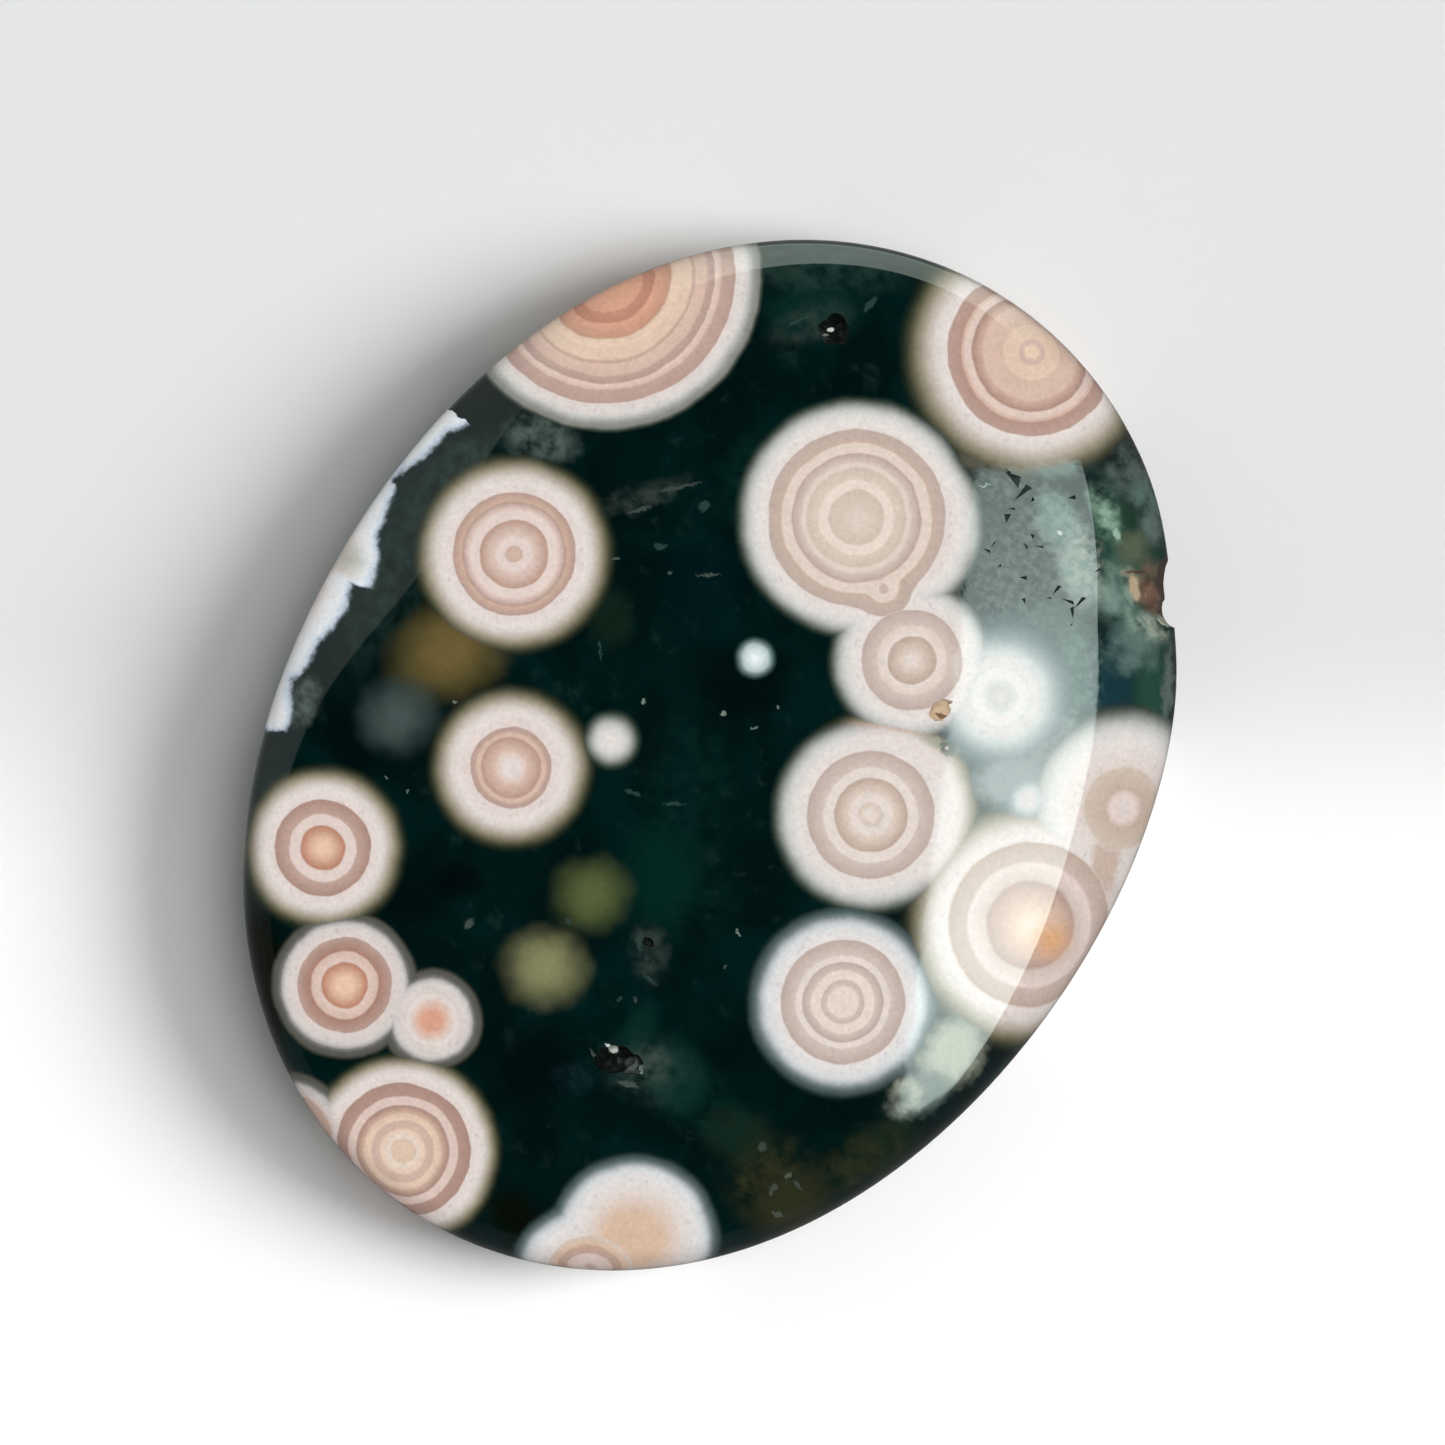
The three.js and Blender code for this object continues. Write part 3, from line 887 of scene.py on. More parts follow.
# Soft ovals on the ground, from the lowest up: pixel, half sizes, turn from the picture's right,
# colour and strength.
GROUND_TINTS = (
    ((705, 585), (3.6, 4.2), 0, "blue ground", 0.7), ((684, 796), (1.2, 3.6), 0, "blue ground", 0.8),
    ((742, 676), (5, 3.4), 0, "black ground", 0.8), ((652, 735), (2.2, 4.4), 0, "black ground", 0.7),
    ((664, 873), (3.4, 4.6), 0, "green ground", 0.7), ((455, 880), (2.4, 1.6), 0, "black ground", 1),
    ((532, 1066), (3.8, 3.4), 0, "black ground", 0.9), ((350, 745), (2.4, 4), 20, "black ground", 0.9),
    ((400, 905), (3, 2.4), 0, "black ground", 0.7), ((676, 1076), (2.8, 3.6), 20, "teal ground", 1),
    ((740, 1136), (3.4, 2.4), -20, "moss", 0.9), ((790, 1205), (3.6, 2.6), 30, "brown green", 0.9),
    ((880, 1150), (4.4, 2.2), 32, "moss", 0.8), ((268, 975), (1.6, 7), 10, "dark brown", 1),
    ((514, 1216), (3, 2), -30, "dark brown", 0.9), ((612, 618), (2, 2.6), 0, "moss", 0.6),
    ((812, 312), (4.4, 2.6), 0, "teal ground", 0.8), ((640, 1030), (1.4, 2.4), -30, "teal ground", 0.8),
)

# Patchy wisps, in the same way. The milky cream one at pixel (908, 1096) is painted reflection, the pale
# lower corner of the softbox's mirrored band.
WISPS = (
    ((540, 438), (3.2, 2), -8, "rim grey", 0.9), ((470, 470), (4, 3), 20, "veil", 0.7),
    ((400, 560), (3.2, 11), -26, "veil", 0.5), ((640, 497), (4.4, 1.1), 17, "grey green", 0.5),
    ((812, 322), (3.8, 1.7), 20, "grey green", 0.3), ((800, 262), (9, 2.4), -8, "veil", 0.7),
    ((650, 1072), (4.4, 3), -20, "veil", 0.7), ((648, 1066), (2, 1.6), 0, "grey green", 0.6),
    ((690, 780), (4, 6), 0, "teal ground", 0.5), ((760, 480), (4, 5), 0, "teal ground", 0.6),
    ((770, 1180), (4, 3.4), 40, "brown green", 1), ((860, 1160), (5, 2), 32, "brown green", 0.9),
    ((710, 1110), (4.6, 2.4), -38, "teal ground", 1), ((650, 950), (1.6, 2.6), 0, "grey green", 0.5),
    ((700, 900), (4, 5), 0, "teal ground", 0.4), ((575, 1078), (2, 1.4), 0, "blue veil", 0.8),
    # (908, 1096): painted reflection of the softbox's band at its lower corner.
    ((908, 1096), (2, 1.6), 40, "milky cream", 0.9), ((304, 700), (1.3, 2.2), -20, "rim grey", 0.9),
)

# Blurred orbs deep under the surface, in the same way.
DEEP_ORBS = (
    ((448, 652), (4.9, 4), 20, "olive brown", 1), ((398, 716), (3.3, 3.2), 0, "grey blue", 0.95),
    ((591, 894), (3.2, 3.1), 0, "olive", 1), ((544, 968), (3.5, 3.3), 0, "yellow olive", 1),
)

# The clouded ground by the right rim and the veils over it, in the same way. The rim grey oval at pixel
# (925, 1092) is painted reflection, the pale lower corner of the softbox's mirrored band. The veils are
# partly the stone's pale patches and partly painted sheen that gives that band its mottle.
CLOUDED_GROUND = (
    ((1078, 690), (2.2, 4.6), 0, "pale green", 0.5), ((1046, 640), (3.8, 3.4), 0, "pale green", 0.5),
    ((1014, 782), (3.8, 2.6), 0, "milky blue", 0.9), ((1050, 740), (2.6, 3), 0, "milky blue", 0.6),
    ((975, 457), (1.6, 1.3), 0, "gap brown", 1), ((1052, 460), (3.4, 1.5), -6, "milky green", 0.6),
    ((1078, 566), (1.6, 3.8), 8, "milky green", 0.8), ((1058, 520), (1.7, 2.6), 20, "pale green", 0.9),
    # (925, 1092): painted reflection of the softbox's band at its lower corner.
    ((952, 1052), (2.4, 3.4), -35, "milky cream", 1), ((925, 1092), (2.6, 1.7), 35, "rim grey", 0.9),
    ((950, 905), (2, 2.4), 0, "olive", 0.5),
)
# Pale veils where the softbox's band is mirrored: partly the stone's own patches, partly painted sheen.
HAZE_VEILS_AND_PAINTED_SHEEN = (
    ((1078, 562), (2.2, 4), 8, "dull white", 0.35), ((1056, 522), (2.2, 3), 20, "milky green", 0.8),
    ((1020, 590), (5, 9), 0, "rim grey", 0.6), ((1080, 680), (2, 5), 0, "milky green", 0.4),
    ((1010, 480), (4, 2), 0, "rim grey", 0.6), ((1030, 730), (4, 3), 0, "milky blue", 0.5),
)

# Crisp flecks and wisps, in the same way. The bright one at pixel (611, 1048) and the one at (640, 1071),
# by the lower hollow, are painted glints.
FLECKS = (
    ((640, 510), (0.95, 0.16), 16, "grey green", 0.6), ((680, 487), (1.7, 0.14), 12, "grey green", 0.5),
    ((704, 506), (0.5, 0.4), 40, "veil", 0.9), ((660, 547), (0.5, 0.3), 0, "veil", 0.8),
    ((709, 575), (0.95, 0.12), 0, "grey green", 0.7), ((670, 573), (0.16, 0.16), 0, "grey green", 0.7),
    ((616, 559), (0.3, 0.14), 0, "grey green", 0.8), ((600, 650), (0.12, 0.9), 5, "veil", 0.8),
    ((643, 702), (0.24, 0.18), 40, "fleck", 0.8), ((723, 714), (0.26, 0.2), 30, "fleck", 0.8),
    ((754, 728), (0.36, 0.09), 20, "fleck", 0.6), ((777, 707), (0.14, 0.14), 0, "fleck", 0.7),
    ((674, 804), (0.9, 0.14), 0, "veil", 0.8), ((632, 792), (0.7, 0.16), -20, "veil", 0.8),
    ((639, 943), (0.2, 0.7), 10, "veil", 0.9), ((650, 979), (0.9, 0.12), -40, "veil", 0.8),
    ((738, 932), (0.12, 0.34), 20, "fleck", 0.7), ((725, 966), (0.18, 0.18), 0, "grey green", 0.7),
    ((469, 924), (0.5, 0.34), 45, "grey green", 0.7), ((619, 998), (0.2, 0.24), 0, "grey blue", 0.4),
    ((635, 1000), (0.2, 0.2), 0, "grey blue", 0.5), ((407, 792), (0.2, 0.1), 60, "fleck", 0.5),
    ((386, 778), (0.12, 0.12), 0, "fleck", 0.5), ((455, 702), (0.2, 0.1), 0, "fleck", 0.6),
    ((762, 1148), (0.4, 0.3), 70, "grey green", 0.5), ((773, 1190), (0.5, 0.24), 60, "grey green", 0.6),
    ((788, 1176), (0.3, 0.22), 40, "rim olive", 0.8), ((798, 1186), (0.6, 0.14), -50, "grey green", 0.5),
    ((778, 1215), (0.5, 0.18), -30, "grey green", 0.7), ((568, 921), (0.16, 0.3), 30, "veil", 0.9),
    ((871, 304), (0.8, 0.24), 50, "veil", 0.9), ((800, 320), (1.1, 0.14), 25, "veil", 0.8),
    # (611, 1048) and (640, 1071): painted glints by the lower hollow.
    ((611, 1048), (0.55, 0.2), -38, "bright fleck and glint", 1), ((640, 1071), (0.2, 0.24), 20, "fleck", 0.9),
    ((597, 1058), (0.12, 0.9), 40, "grey green", 0.8), ((628, 1084), (0.9, 0.2), -15, "grey green", 0.7),
    ((986, 485), (0.5, 0.09), 12, "light streak", 0.7), ((1060, 533), (0.2, 0.18), 0, "bright fleck and glint", 0.7),
)

# The right rim's mottled ground, then the marks by the chip.
RIM_CLOUDS = (
    ((1130, 560), (3.6, 8), 12, "rim green", 1), ((1090, 480), (0.9, 2.6), 18, "clear ground", 0.8),
    ((1140, 520), (1.8, 3.6), 16, "moss", 0.6), ((1114, 690), (2.4, 5), 0, "rim teal", 1),
    ((1152, 696), (1.8, 5), 0, "rim green", 1), ((1133, 548), (1.6, 1.7), 0, "rim olive", 1),
    ((1169, 688), (0.55, 4.4), -2, "rim grey", 0.9), ((1152, 528), (1, 1.7), 10, "rim grey", 0.8),
    ((1112, 596), (2, 1.6), 0, "pale green", 0.8), ((1151, 594), (1.3, 1.9), 8, "chip brown", 1),
    ((1134, 640), (2.2, 1.6), -30, "pale green", 0.8),
)
RIM_VEILS = (
    ((1105, 512), (1.2, 2.6), 20, "light streak", 0.9), ((1130, 470), (2.4, 3), 12, "rim grey", 0.8),
    ((1150, 506), (1.4, 2.6), 12, "pale green", 0.9), ((1112, 590), (2, 2.8), 0, "milky green", 0.8),
    ((1142, 624), (2.4, 1.2), -40, "milky green", 1), ((1132, 652), (2.6, 1.9), 0, "pale green", 1),
    ((1150, 628), (1.6, 0.8), -35, "milky cream", 0.9), ((1154, 588), (1.3, 2.4), 8, "chip red", 1),
    ((1112, 742), (2.2, 1.6), 0, "rim grey", 0.9), ((1136, 586), (0.8, 1.6), 24, "chip tan", 0.9),
)
RIM_FLECKS = (
    ((1136, 572), (0.9, 0.14), 4, "chip brown", 0.9), ((1135, 588), (0.4, 1), 12, "chip tan", 0.9),
    ((1129, 594), (0.3, 0.8), 20, "milky green", 0.7), ((1117, 534), (0.3, 0.5), 20, "light streak", 0.9),
    ((1146, 626), (1, 0.16), -50, "milky green", 0.6), ((1164, 622), (0.5, 0.2), -35, "milky cream", 1),
)

# Marks over the orbs: the contact band between two of them, a crumbled spot and a small nucleus.
ORB_MARKS = (
    ((893, 729), (3.2, 0.17), -8, "rosy tan", 0.4), ((940, 744), (1.6, 0.5), -20, "milky cream", 0.6),
    ((948, 748), (0.75, 0.6), -35, "grey green", 0.75), ((947, 748), (0.2, 0.16), 0, "milk", 0.6),
    ((937, 711), (0.75, 0.5), 35, "crumb tan", 1), ((948, 703), (0.4, 0.18), 15, "crumb brown", 0.9),
    ((937, 718.5), (0.42, 0.12), -20, "crumb brown", 1), ((884, 589), (0.36, 0.36), 0, "grey mauve", 1),
)

# The lobes below the orb at the right rim, and the orange side of the lower right orb's middle.
LOWER_LOBES = (
    ((1107, 862), (1.3, 3.4), -8, "tan", 0.95), ((1132, 862), (1, 2.8), -22, "white", 0.95),
)
ORANGE_CORNER = (((1051, 940), (2.1, 1.9), 20, "amber", 0.9),)

# The pale patch on the left rim: its inner edge from the picture's top down, as pixels, between the
# two ends of a straight line, how far from that line it may lie, and where the patch has a fold and
# how far that reaches.
PATCH_ENDS = ((452, 408), (264, 734))
PATCH_EDGE = (
    (450, 410), (471, 425), (451, 433), (425, 459), (393, 480), (398, 488), (389, 512), (380, 538),
    (380, 561), (373, 589), (353, 586), (351, 605), (338, 625), (317, 648), (309, 668), (293, 681),
    (292, 701), (294, 721), (288, 732), (266, 731),
)
PATCH_RANGE = 4.0
PATCH_FOLD = (352, 560)
PATCH_FOLD_REACH = 1.7

# The patch's colours by the share of its depth inwards; the height at which its pixels are read, how
# deep it is, how far its fibres fray its edge, how the edge fades in, and how strongly the fold shows.
PATCH_COLOURS = (
    (0.0, (128, 142, 152)), (0.12, (190, 202, 218)), (0.3, (232, 235, 240)), (0.65, (234, 230, 231)),
    (1.0, (228, 214, 210)),
)
PATCH_HEIGHT = STONE_THICKNESS * 0.8
PATCH_DEPTH = 2.4
PATCH_FRAY = 0.1
PATCH_EDGE_FADE = (-0.12, 0.4)
PATCH_FOLD_STRENGTH = 0.7

# Noises in the stone: their lumps to a millimetre, how many finer layers they have and how strong
# those are, how far the noise bends itself, and the lift that makes it another pattern.
NOISES = {
    "drifting clouds": {"scale": 0.17, "detail": 5, "roughness": 0.55, "distortion": 0.5},
    "wisps": {"scale": 0.62, "detail": 6, "roughness": 0.62, "distortion": 0.3, "lift": 20},
    "patchy": {"scale": 0.9, "detail": 4, "roughness": 0.55, "lift": 3},
    "mottled": {"scale": 2, "detail": 4, "roughness": 0.62, "lift": 17},
    "patch fibres": {"scale": 2.2, "detail": 5, "roughness": 0.7, "lift": 14},
    "halo flecks": {"scale": 2.6, "detail": 2, "roughness": 0.5, "lift": 9},
    "grain": {"scale": 3.2, "detail": 5, "roughness": 0.7},
    "mottle": {"scale": 0.9, "detail": 3, "roughness": 0.6, "lift": 12},
    "break grain": {"scale": 2.4, "detail": 4, "roughness": 0.65},
}

# The ranges of those noises over which they show, and how strongly some of them do.
MOST_NOISE = (0.2, 0.8)
CLOUDS_SHOW = (0.36, 0.66)
WISPS_SHOW = (0.56, 0.8)
WISP_STRENGTH = 0.3
GRAINS_SHOW = {"patchy": (0.26, 0.74), "mottled": (0.36, 0.68)}
FIBRES_SHOW = (0.3, 0.7)
HALO_FLECKS_SHOW = (0.58, 0.74)
HALO_FLECK_STRENGTH = 0.42
GRAIN_LIGHT = (0.86, 1.14)
MOTTLE_LIGHT = (-0.05, 0.05)

# How noise shakes the places that things are drawn at, by an amount in millimetres.
SHAKEN_PLACES = {
    "soft": {"scale": 0.5, "amount": 1.2, "detail": 1},
    "rough": {"scale": 0.9, "amount": 1.3, "lift": 5},
    "crisp": {"scale": 3, "amount": 0.6, "lift": 7},
    "ringed": {"scale": 0.45, "amount": 0.34, "lift": 2},
    "left patch": {"scale": 0.9, "amount": 0.6, "detail": 2},
    "broken": {"scale": 3.5, "amount": 0.3, "lift": 7},
}

# The layers over the clear ground from the lowest up: their spots, how the places are shaken, the
# solid share of the spots' sizes, and the noise that makes them patchy.
GROUND_LAYERS = (
    {"spots": GROUND_TINTS, "place": "soft", "solid": 0.3},
    {"spots": DEEP_ORBS, "place": "soft", "solid": 0.1},
    {"spots": CLOUDED_GROUND, "place": "rough", "solid": 0.35},
    {"spots": RIM_CLOUDS, "place": "rough", "solid": 0.2},
    {"spots": WISPS + RIM_VEILS, "place": "rough", "solid": 0.3, "grain": "patchy"},
    # painted sheen with pale veils, where the softbox's band is mirrored
    {"spots": HAZE_VEILS_AND_PAINTED_SHEEN, "place": "rough", "solid": 0.3, "grain": "mottled"},
    {"spots": FLECKS + RIM_FLECKS, "place": "crisp", "solid": 0.55},
)
LOBES_SOLID = 0.4
ORB_MARKS_SOLID = 0.5

# The ring of flecks just outside an orb's rings: its middle line's gap and how it fades across.
FLECK_RING_GAP = 0.4
FLECK_RING_FADE = (0.34, 0.12)

# The heights between which the back's plain ground gives way to the face's pattern.
BACK_FADE = (0.8, 3.2)

# The polished surface is drawn in three regions side by side, so that each material holds only the
# marks that reach it: the pixels across the picture where one ends, and how far a mark may wander.
REGION_ENDS = (575, 790)
REGION_MARGIN = 0.9


def picture_regions():
    """The regions as lowest and highest millimetres towards the picture's right."""
    ends = [(pixel - STONE_MIDDLE_PIXEL[0]) / PIXELS_PER_MM for pixel in REGION_ENDS]
    return list(zip([-math.inf] + ends, ends + [math.inf]))


def reaches(region, middle, reach):
    """Whether something this wide about a point of the plan reaches a region."""
    across = Vector(middle[:2]).dot(PICTURE_RIGHT.xy)
    reach += REGION_MARGIN
    return region[0] - reach < across < region[1] + reach


def spots_within(region, spots):
    return [spot for spot in spots if reaches(region, face_point(spot[0]), max(spot[1]))]


def shade(colour, share):
    return tuple(channel * share for channel in colour[:3])


def lightness(colour):
    return sum(share * channel for share, channel in zip(LIGHTNESS_SHARES, colour))


def ring_stops(rings, blur, after="white"):
    """Stops from an orb's middle out. A ring that a lighter one follows ends in a thin outline."""
    reach = rings[-1][0] + blur
    stops = []
    start = 0.0
    for index, (radius, *colours) in enumerate(rings):
        follows = rings[index + 1][1] if index + 1 < len(rings) else after
        end = COLOURS[colours[-1]]
        if lightness(COLOURS[follows]) > lightness(end):
            end = shade(end, OUTLINE_SHADE)
        stops.append((start / reach, COLOURS[colours[0]], 1.0))
        stops.append(((radius - blur) / reach, end, 1.0))
        start = radius + blur
    return reach, stops + [(1.0, COLOURS[after], 0.0)]


def squeezed(point):
    """A point with its height counted for less, as orb distances are measured."""
    return (point.x, point.y, point.z * DEPTH_SHARE)


def measured_orbs(nodes, place, flat, region):
    """The orbs that reach a region, each with the distance from its middle. Those of the back are
    balls about its foot."""
    named = {orb["name"]: orb for orb in ORBS}
    back = [{**named[orb["like"]], **orb, "middle": (*orb["at"], 0)} for orb in BACK_ORBS]
    face = [{**orb, "middle": squeezed(face_point(orb["pixel"]))} for orb in ORBS]
    orbs = []
    for orb in face + back:
        if reaches(region, orb["middle"], orb["white"] + HALO_OUTSIDE * orb.get("spread", 1)):
            field = place if orb in back else flat
            orbs.append({**orb, "distance": nodes.vector("DISTANCE", field, orb["middle"])})
    return orbs


def halo_layer(nodes, below, kind, orbs):
    """The white zones and soft halos of the orbs of one kind, fused where they meet."""
    edge = None
    for orb in orbs:
        if orb["halo"] == kind:
            past = nodes.math("SUBTRACT", orb["distance"], orb["white"])
            past = nodes.math("DIVIDE", past, orb.get("spread", 1))
            edge = past if edge is None else nodes.math("SMOOTH_MIN", edge, past, ORB_MERGE)
    if edge is None:
        return below
    share = nodes.steps(edge, HALO_INSIDE, HALO_OUTSIDE, smooth=False)
    span = HALO_OUTSIDE - HALO_INSIDE
    stops = [((at - HALO_INSIDE) / span, linear(*rgb), *cover) for at, rgb, *cover in HALOS[kind]]
    colour, alpha = nodes.ramp(share, stops)
    return nodes.mix(alpha, below, colour, "LIGHTEN")


def bulged_distance(nodes, flat, orb):
    """An orb's distance, with its outer rings drawn out around a small nucleus beside it."""
    rim = orb["rings"][-1][0]
    pixel, reach = orb["bulge"]
    nucleus = nodes.vector("DISTANCE", flat, squeezed(face_point(pixel)))
    past_orb = nodes.math("SUBTRACT", orb["distance"], rim)
    past_nucleus = nodes.math("SUBTRACT", nucleus, reach)
    return nodes.math("ADD", nodes.math("SMOOTH_MIN", past_orb, past_nucleus, BULGE_MERGE), rim)


def core_layer(nodes, below, orb, distance):
    """The rings of one orb."""
    reach, stops = ring_stops(orb["rings"], orb.get("blur", RING_BLUR))
    colour, alpha = nodes.ramp(nodes.math("DIVIDE", distance, reach), stops)
    return nodes.mix(alpha, below, colour)


def fleck_ring(nodes, below, orbs, place):
    """Small lilac flecks in the white zones, just outside the rings."""
    nearest = None
    for orb in orbs:
        if orb["rings"]:
            off = nodes.math("SUBTRACT", orb["distance"], orb["rings"][-1][0] + FLECK_RING_GAP)
            off = nodes.math("ABSOLUTE", off)
            nearest = off if nearest is None else nodes.math("MINIMUM", nearest, off)
    speck, _ = nodes.noise(place, **NOISES["halo flecks"])
    near = nodes.steps(nearest, *FLECK_RING_FADE)
    speck = nodes.steps(speck, *HALO_FLECKS_SHOW, 0, HALO_FLECK_STRENGTH)
    return nodes.mix(nodes.math("MULTIPLY", near, speck), below, COLOURS["lilac fleck"])


def spot_layer(nodes, below, place, region, spots, solid=0.0, grain=None):
    """Ovals that fade out from the solid share of their half sizes, patchy where there is a grain."""
    fields = {}
    for pixel, (along, across), turn, colour, strength in spots_within(region, spots):
        if along == across:
            turn = 0
        angle = -PICTURE_TURN - math.radians(turn)
        if turn not in fields:
            turned = nodes.add("ShaderNodeVectorRotate", rotation_type="Z_AXIS", inputs={
                "Vector": place, "Angle": angle}).outputs[0]
            fields[turn] = nodes.vector("MULTIPLY", turned, (1, 1, 0))
        field = fields[turn]
        middle = Matrix.Rotation(angle, 3, "Z") @ face_point(pixel).xy.to_3d()
        if along != across:
            field = nodes.vector("MULTIPLY", field, (1, along / across, 0))
            middle.y *= along / across
        reach = nodes.vector("DISTANCE", field, middle)
        share = nodes.steps(reach, along, along * solid, 0, strength)
        if grain:
            share = nodes.math("MULTIPLY", share, grain)
        below = nodes.mix(share, below, COLOURS[colour])
    return below


def dark_chalcedony(nodes, place):
    """The clear dark green ground between the orbs, with drifting clouds."""
    cloud, _ = nodes.noise(place, **NOISES["drifting clouds"])
    wisps, _ = nodes.noise(place, **NOISES["wisps"])
    cloud = nodes.steps(cloud, *CLOUDS_SHOW)
    ground = nodes.mix(cloud, COLOURS["deep ground"], COLOURS["clear ground"])
    return nodes.mix(nodes.steps(wisps, *WISPS_SHOW, 0, WISP_STRENGTH), ground, COLOURS["veil"])


def left_patch(nodes, below, place):
    """The jagged pale patch that runs along the left rim."""
    start = plan_of_pixel(PATCH_ENDS[0])
    end = plan_of_pixel(PATCH_ENDS[1])
    length = (end - start).length
    down = (end - start) / length
    inward = Vector((-down.y, down.x, 0))
    stops = []
    for pixel in PATCH_EDGE:
        point = plan_of_pixel(pixel, PATCH_HEIGHT) - start
        stops.append((point.dot(down) / length, (point.dot(inward) / PATCH_RANGE + 1) / 2))
    shaken = nodes.shaken(place, **SHAKEN_PLACES["left patch"])
    from_start = nodes.vector("SUBTRACT", shaken, tuple(start))
    along = nodes.math("DIVIDE", nodes.vector("DOT_PRODUCT", from_start, tuple(down)), length)
    across = nodes.vector("DOT_PRODUCT", from_start, tuple(inward))
    levels, _ = nodes.ramp(along, grey_stops([(0.0, 0), *stops, (1.0, 0)]))
    level = nodes.add("ShaderNodeSeparateColor", inputs={"Color": levels}).outputs[0]
    edge = nodes.steps(level, 0, 1, -PATCH_RANGE, PATCH_RANGE, smooth=False)
    inside = nodes.math("SUBTRACT", edge, across)
    fibre, _ = nodes.noise(place, **NOISES["patch fibres"])
    frayed = nodes.steps(fibre, *FIBRES_SHOW, -PATCH_FRAY, PATCH_FRAY, smooth=False)
    inside = nodes.math("ADD", inside, frayed)
    depth = nodes.steps(inside, 0, PATCH_DEPTH, smooth=False)
    body, _ = nodes.ramp(depth, [(share, linear(*rgb)) for share, rgb in PATCH_COLOURS])
    fold = nodes.vector("DISTANCE", nodes.vector("MULTIPLY", place, (1, 1, 0)),
                        tuple(plan_of_pixel(PATCH_FOLD)))
    fold = nodes.steps(fold, PATCH_FOLD_REACH, 0, 0, PATCH_FOLD_STRENGTH)
    body = nodes.mix(fold, body, COLOURS["milky cream"])
    return nodes.mix(nodes.steps(inside, *PATCH_EDGE_FADE), below, body)


def jasper_ground(nodes, place, crisp, region):
    """The ground with its tints, blurred deep orbs, flecks and rim patches, among them painted glints and
    painted sheen.
    """
    places = {"crisp": crisp}
    for name in ("soft", "rough"):
        places[name] = nodes.shaken(place, **SHAKEN_PLACES[name])
    grains = {}
    for name, shows in GRAINS_SHOW.items():
        grain, _ = nodes.noise(place, **NOISES[name])
        grains[name] = nodes.steps(grain, *shows)
    clear = dark_chalcedony(nodes, place)
    colour = clear
    for layer in GROUND_LAYERS:
        grain = grains.get(layer.get("grain"))
        colour = spot_layer(nodes, colour, places[layer["place"]], region, layer["spots"],
                            layer["solid"], grain)
    if reaches(region, plan_of_pixel(PATCH_ENDS[0]), 0):
        colour = left_patch(nodes, colour, place)
    height = nodes.add("ShaderNodeSeparateXYZ", inputs={"Vector": place}).outputs["Z"]
    return nodes.mix(nodes.steps(height, *BACK_FADE), clear, colour)


def jasper_colour(nodes, place, region):
    """The pattern of a region: the ground, the halos, the rings and the marks over them. Also its
    grain and its mottle, for the polish."""
    crisp = nodes.shaken(place, **SHAKEN_PLACES["crisp"])
    colour = jasper_ground(nodes, place, crisp, region)
    bent = nodes.shaken(place, **SHAKEN_PLACES["ringed"])
    flat = nodes.vector("MULTIPLY", bent, (1, 1, DEPTH_SHARE))
    orbs = measured_orbs(nodes, bent, flat, region)
    for kind in HALOS:
        colour = halo_layer(nodes, colour, kind, orbs)
    colour = fleck_ring(nodes, colour, orbs, bent)
    colour = spot_layer(nodes, colour, crisp, region, LOWER_LOBES, LOBES_SOLID)
    for orb in orbs:
        distance = bulged_distance(nodes, flat, orb) if "bulge" in orb else orb["distance"]
        if orb["rings"]:
            colour = core_layer(nodes, colour, orb, distance)
    colour = spot_layer(nodes, colour, place, region, ORANGE_CORNER)
    colour = spot_layer(nodes, colour, crisp, region, ORB_MARKS, ORB_MARKS_SOLID)
    grain, _ = nodes.noise(place, **NOISES["grain"])
    mottle, _ = nodes.noise(place, **NOISES["mottle"])
    light = nodes.math("ADD", nodes.steps(grain, *MOST_NOISE, *GRAIN_LIGHT, smooth=False),
                       nodes.steps(mottle, *MOST_NOISE, *MOTTLE_LIGHT, smooth=False))
    return nodes.scaled(colour, light), grain, mottle


# The stone's index of refraction.
STONE_IOR = 1.54

# The polish: its roughness between two values of the grain, and how high its slight waves stand.
POLISH_GRAIN = (0.25, 0.75)
POLISH_ROUGHNESS = (0.032, 0.055)
POLISH_WAVE = 0.004
POLISH_WAVE_STRENGTH = 0.5


def polished_jasper(region):
    """The polished stone of one region."""
    material, nodes = new_material("polished_jasper")
    colour, grain, mottle = jasper_colour(nodes, place_in_mm(nodes), region)
    roughness = nodes.steps(grain, *POLISH_GRAIN, *POLISH_ROUGHNESS, smooth=False)
    bump = nodes.add("ShaderNodeBump", inputs={
        "Height": mottle, "Strength": POLISH_WAVE_STRENGTH, "Distance": POLISH_WAVE * MM})
    shader = nodes.add("ShaderNodeBsdfPrincipled", inputs={
        "Base Color": colour, "Roughness": roughness, "IOR": STONE_IOR, "Normal": bump.outputs[0]})
    nodes.finish("ShaderNodeOutputMaterial", shader)
    return material


# Colours of the breaks: the rim chip, the crumbled spot and the clouded ground with its sharp pits.
BREAK_COLOURS = (
    ((1040, 560), (7, 9), 0, "pit grey", 0.9), ((1155, 592), (3, 3.4), 10, "chip brown", 1),
    ((1150, 600), (1, 1.2), 20, "chip red", 1), ((1144, 592), (0.4, 1), 20, "chip tan", 0.8),
    ((1162, 622), (1.2, 0.5), -35, "milky cream", 0.9), ((938, 711), (1.4, 1.2), 0, "crumb tan", 1),
    ((941, 716), (0.5, 0.2), -20, "crumb brown", 1),
)
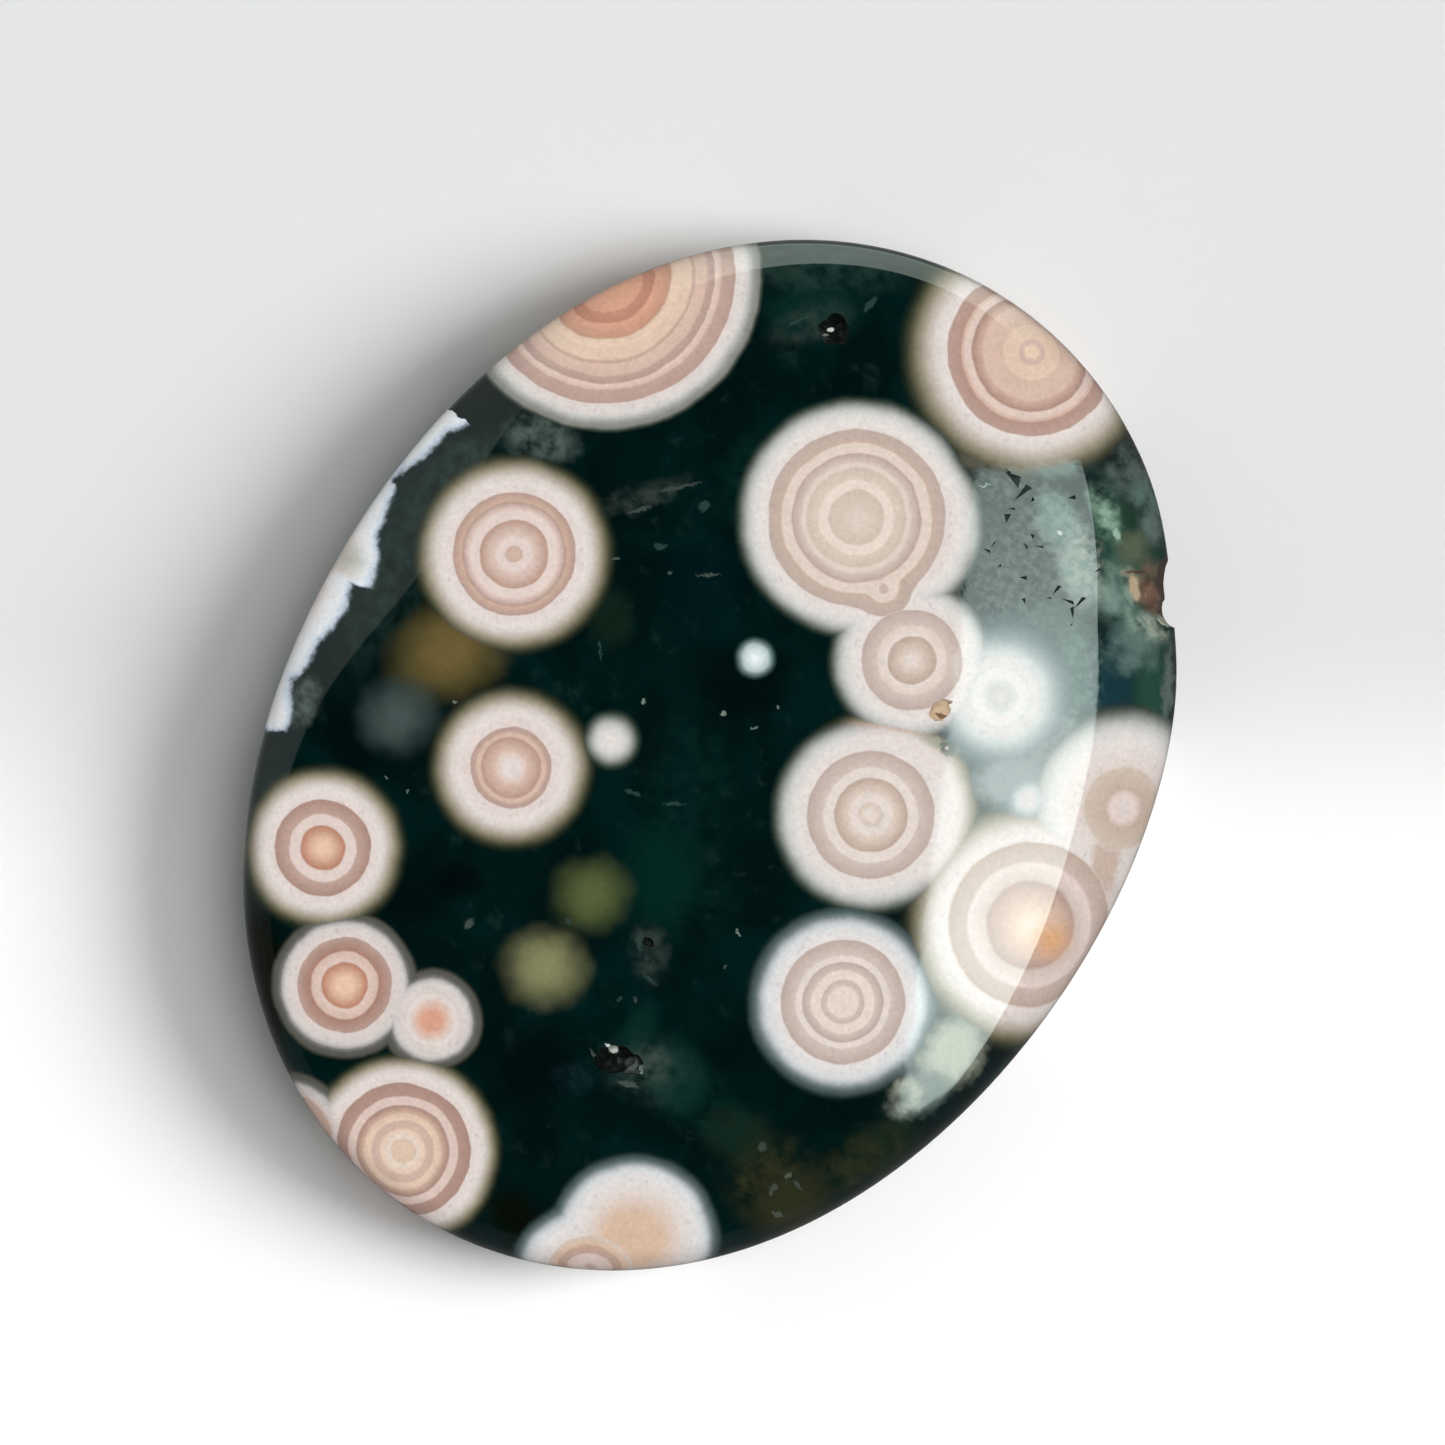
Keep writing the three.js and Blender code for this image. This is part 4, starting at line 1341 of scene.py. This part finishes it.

# Painted glints on the walls of the hollows: bright spots that stand in for highlights, and a grey patch
# of crystals.
PAINTED_GLINTS_AND_CRYSTALS = (
    ((831, 329), (0.26, 0.2), 10, "bright fleck and glint", 1), ((826, 334), (0.24, 0.1), 0, "fleck", 1),
    ((613, 1049), (0.4, 0.3), -38, "bright fleck and glint", 1), ((643, 1069), (0.3, 0.3), 20, "fleck", 1),
    ((632, 1064), (0.5, 0.5), 0, "grey green", 0.8),
)

# The solid shares of those spots, the grain's range over which paler crystals show, and how rough and
# how grainy a break is.
BREAK_COLOURS_SOLID = 0.5
PAINTED_GLINTS_AND_CRYSTALS_SOLID = 0.7
CRYSTALS_SHOW = (0.45, 0.75)
BREAK_ROUGHNESS = 0.42
BREAK_GRAIN_DEPTH = 0.1
BREAK_GRAIN_STRENGTH = 0.6


def broken_jasper():
    """Unpolished breaks: dark crystal grains in the hollows with painted glints on them, and red and tan
    stone in the chip.
    """
    material, nodes = new_material("broken_jasper")
    place = place_in_mm(nodes)
    grain, _ = nodes.noise(place, **NOISES["break grain"])
    crystals = nodes.steps(grain, *CRYSTALS_SHOW)
    colour = nodes.mix(crystals, COLOURS["break dark"], COLOURS["break grey"])
    crisp = nodes.shaken(place, **SHAKEN_PLACES["broken"])
    everywhere = (-math.inf, math.inf)
    colour = spot_layer(nodes, colour, crisp, everywhere, BREAK_COLOURS, BREAK_COLOURS_SOLID)
    # Painted glints: bright spots in the hollows that stand in for highlights.
    colour = spot_layer(nodes, colour, crisp, everywhere, PAINTED_GLINTS_AND_CRYSTALS, PAINTED_GLINTS_AND_CRYSTALS_SOLID)
    bump = nodes.add("ShaderNodeBump", inputs={
        "Height": grain, "Strength": BREAK_GRAIN_STRENGTH, "Distance": BREAK_GRAIN_DEPTH * MM})
    shader = nodes.add("ShaderNodeBsdfPrincipled", inputs={
        "Base Color": colour, "Roughness": BREAK_ROUGHNESS, "IOR": STONE_IOR, "Normal": bump.outputs[0]})
    nodes.finish("ShaderNodeOutputMaterial", shader)
    return material


add_camera()
add_world()
add_softbox()
add_wall_light()
add_floor()

regions = picture_regions()
whole = whole_stone()
whole.materials.append(polished_jasper(regions[0]))
mesh = carved(whole, broken_jasper())
for region in regions[1:]:
    mesh.materials.append(polished_jasper(region))
share_out_regions(mesh, regions)
fit_to_box(mesh, STONE_BOX)
stone = add_object("jasper_stone", mesh)
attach(stone, "root")
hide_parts("jasper_medallion")

for plan in SOFT_LIGHTS:
    add_soft_light(plan)

bpy.context.scene.view_settings.view_transform = "Standard"
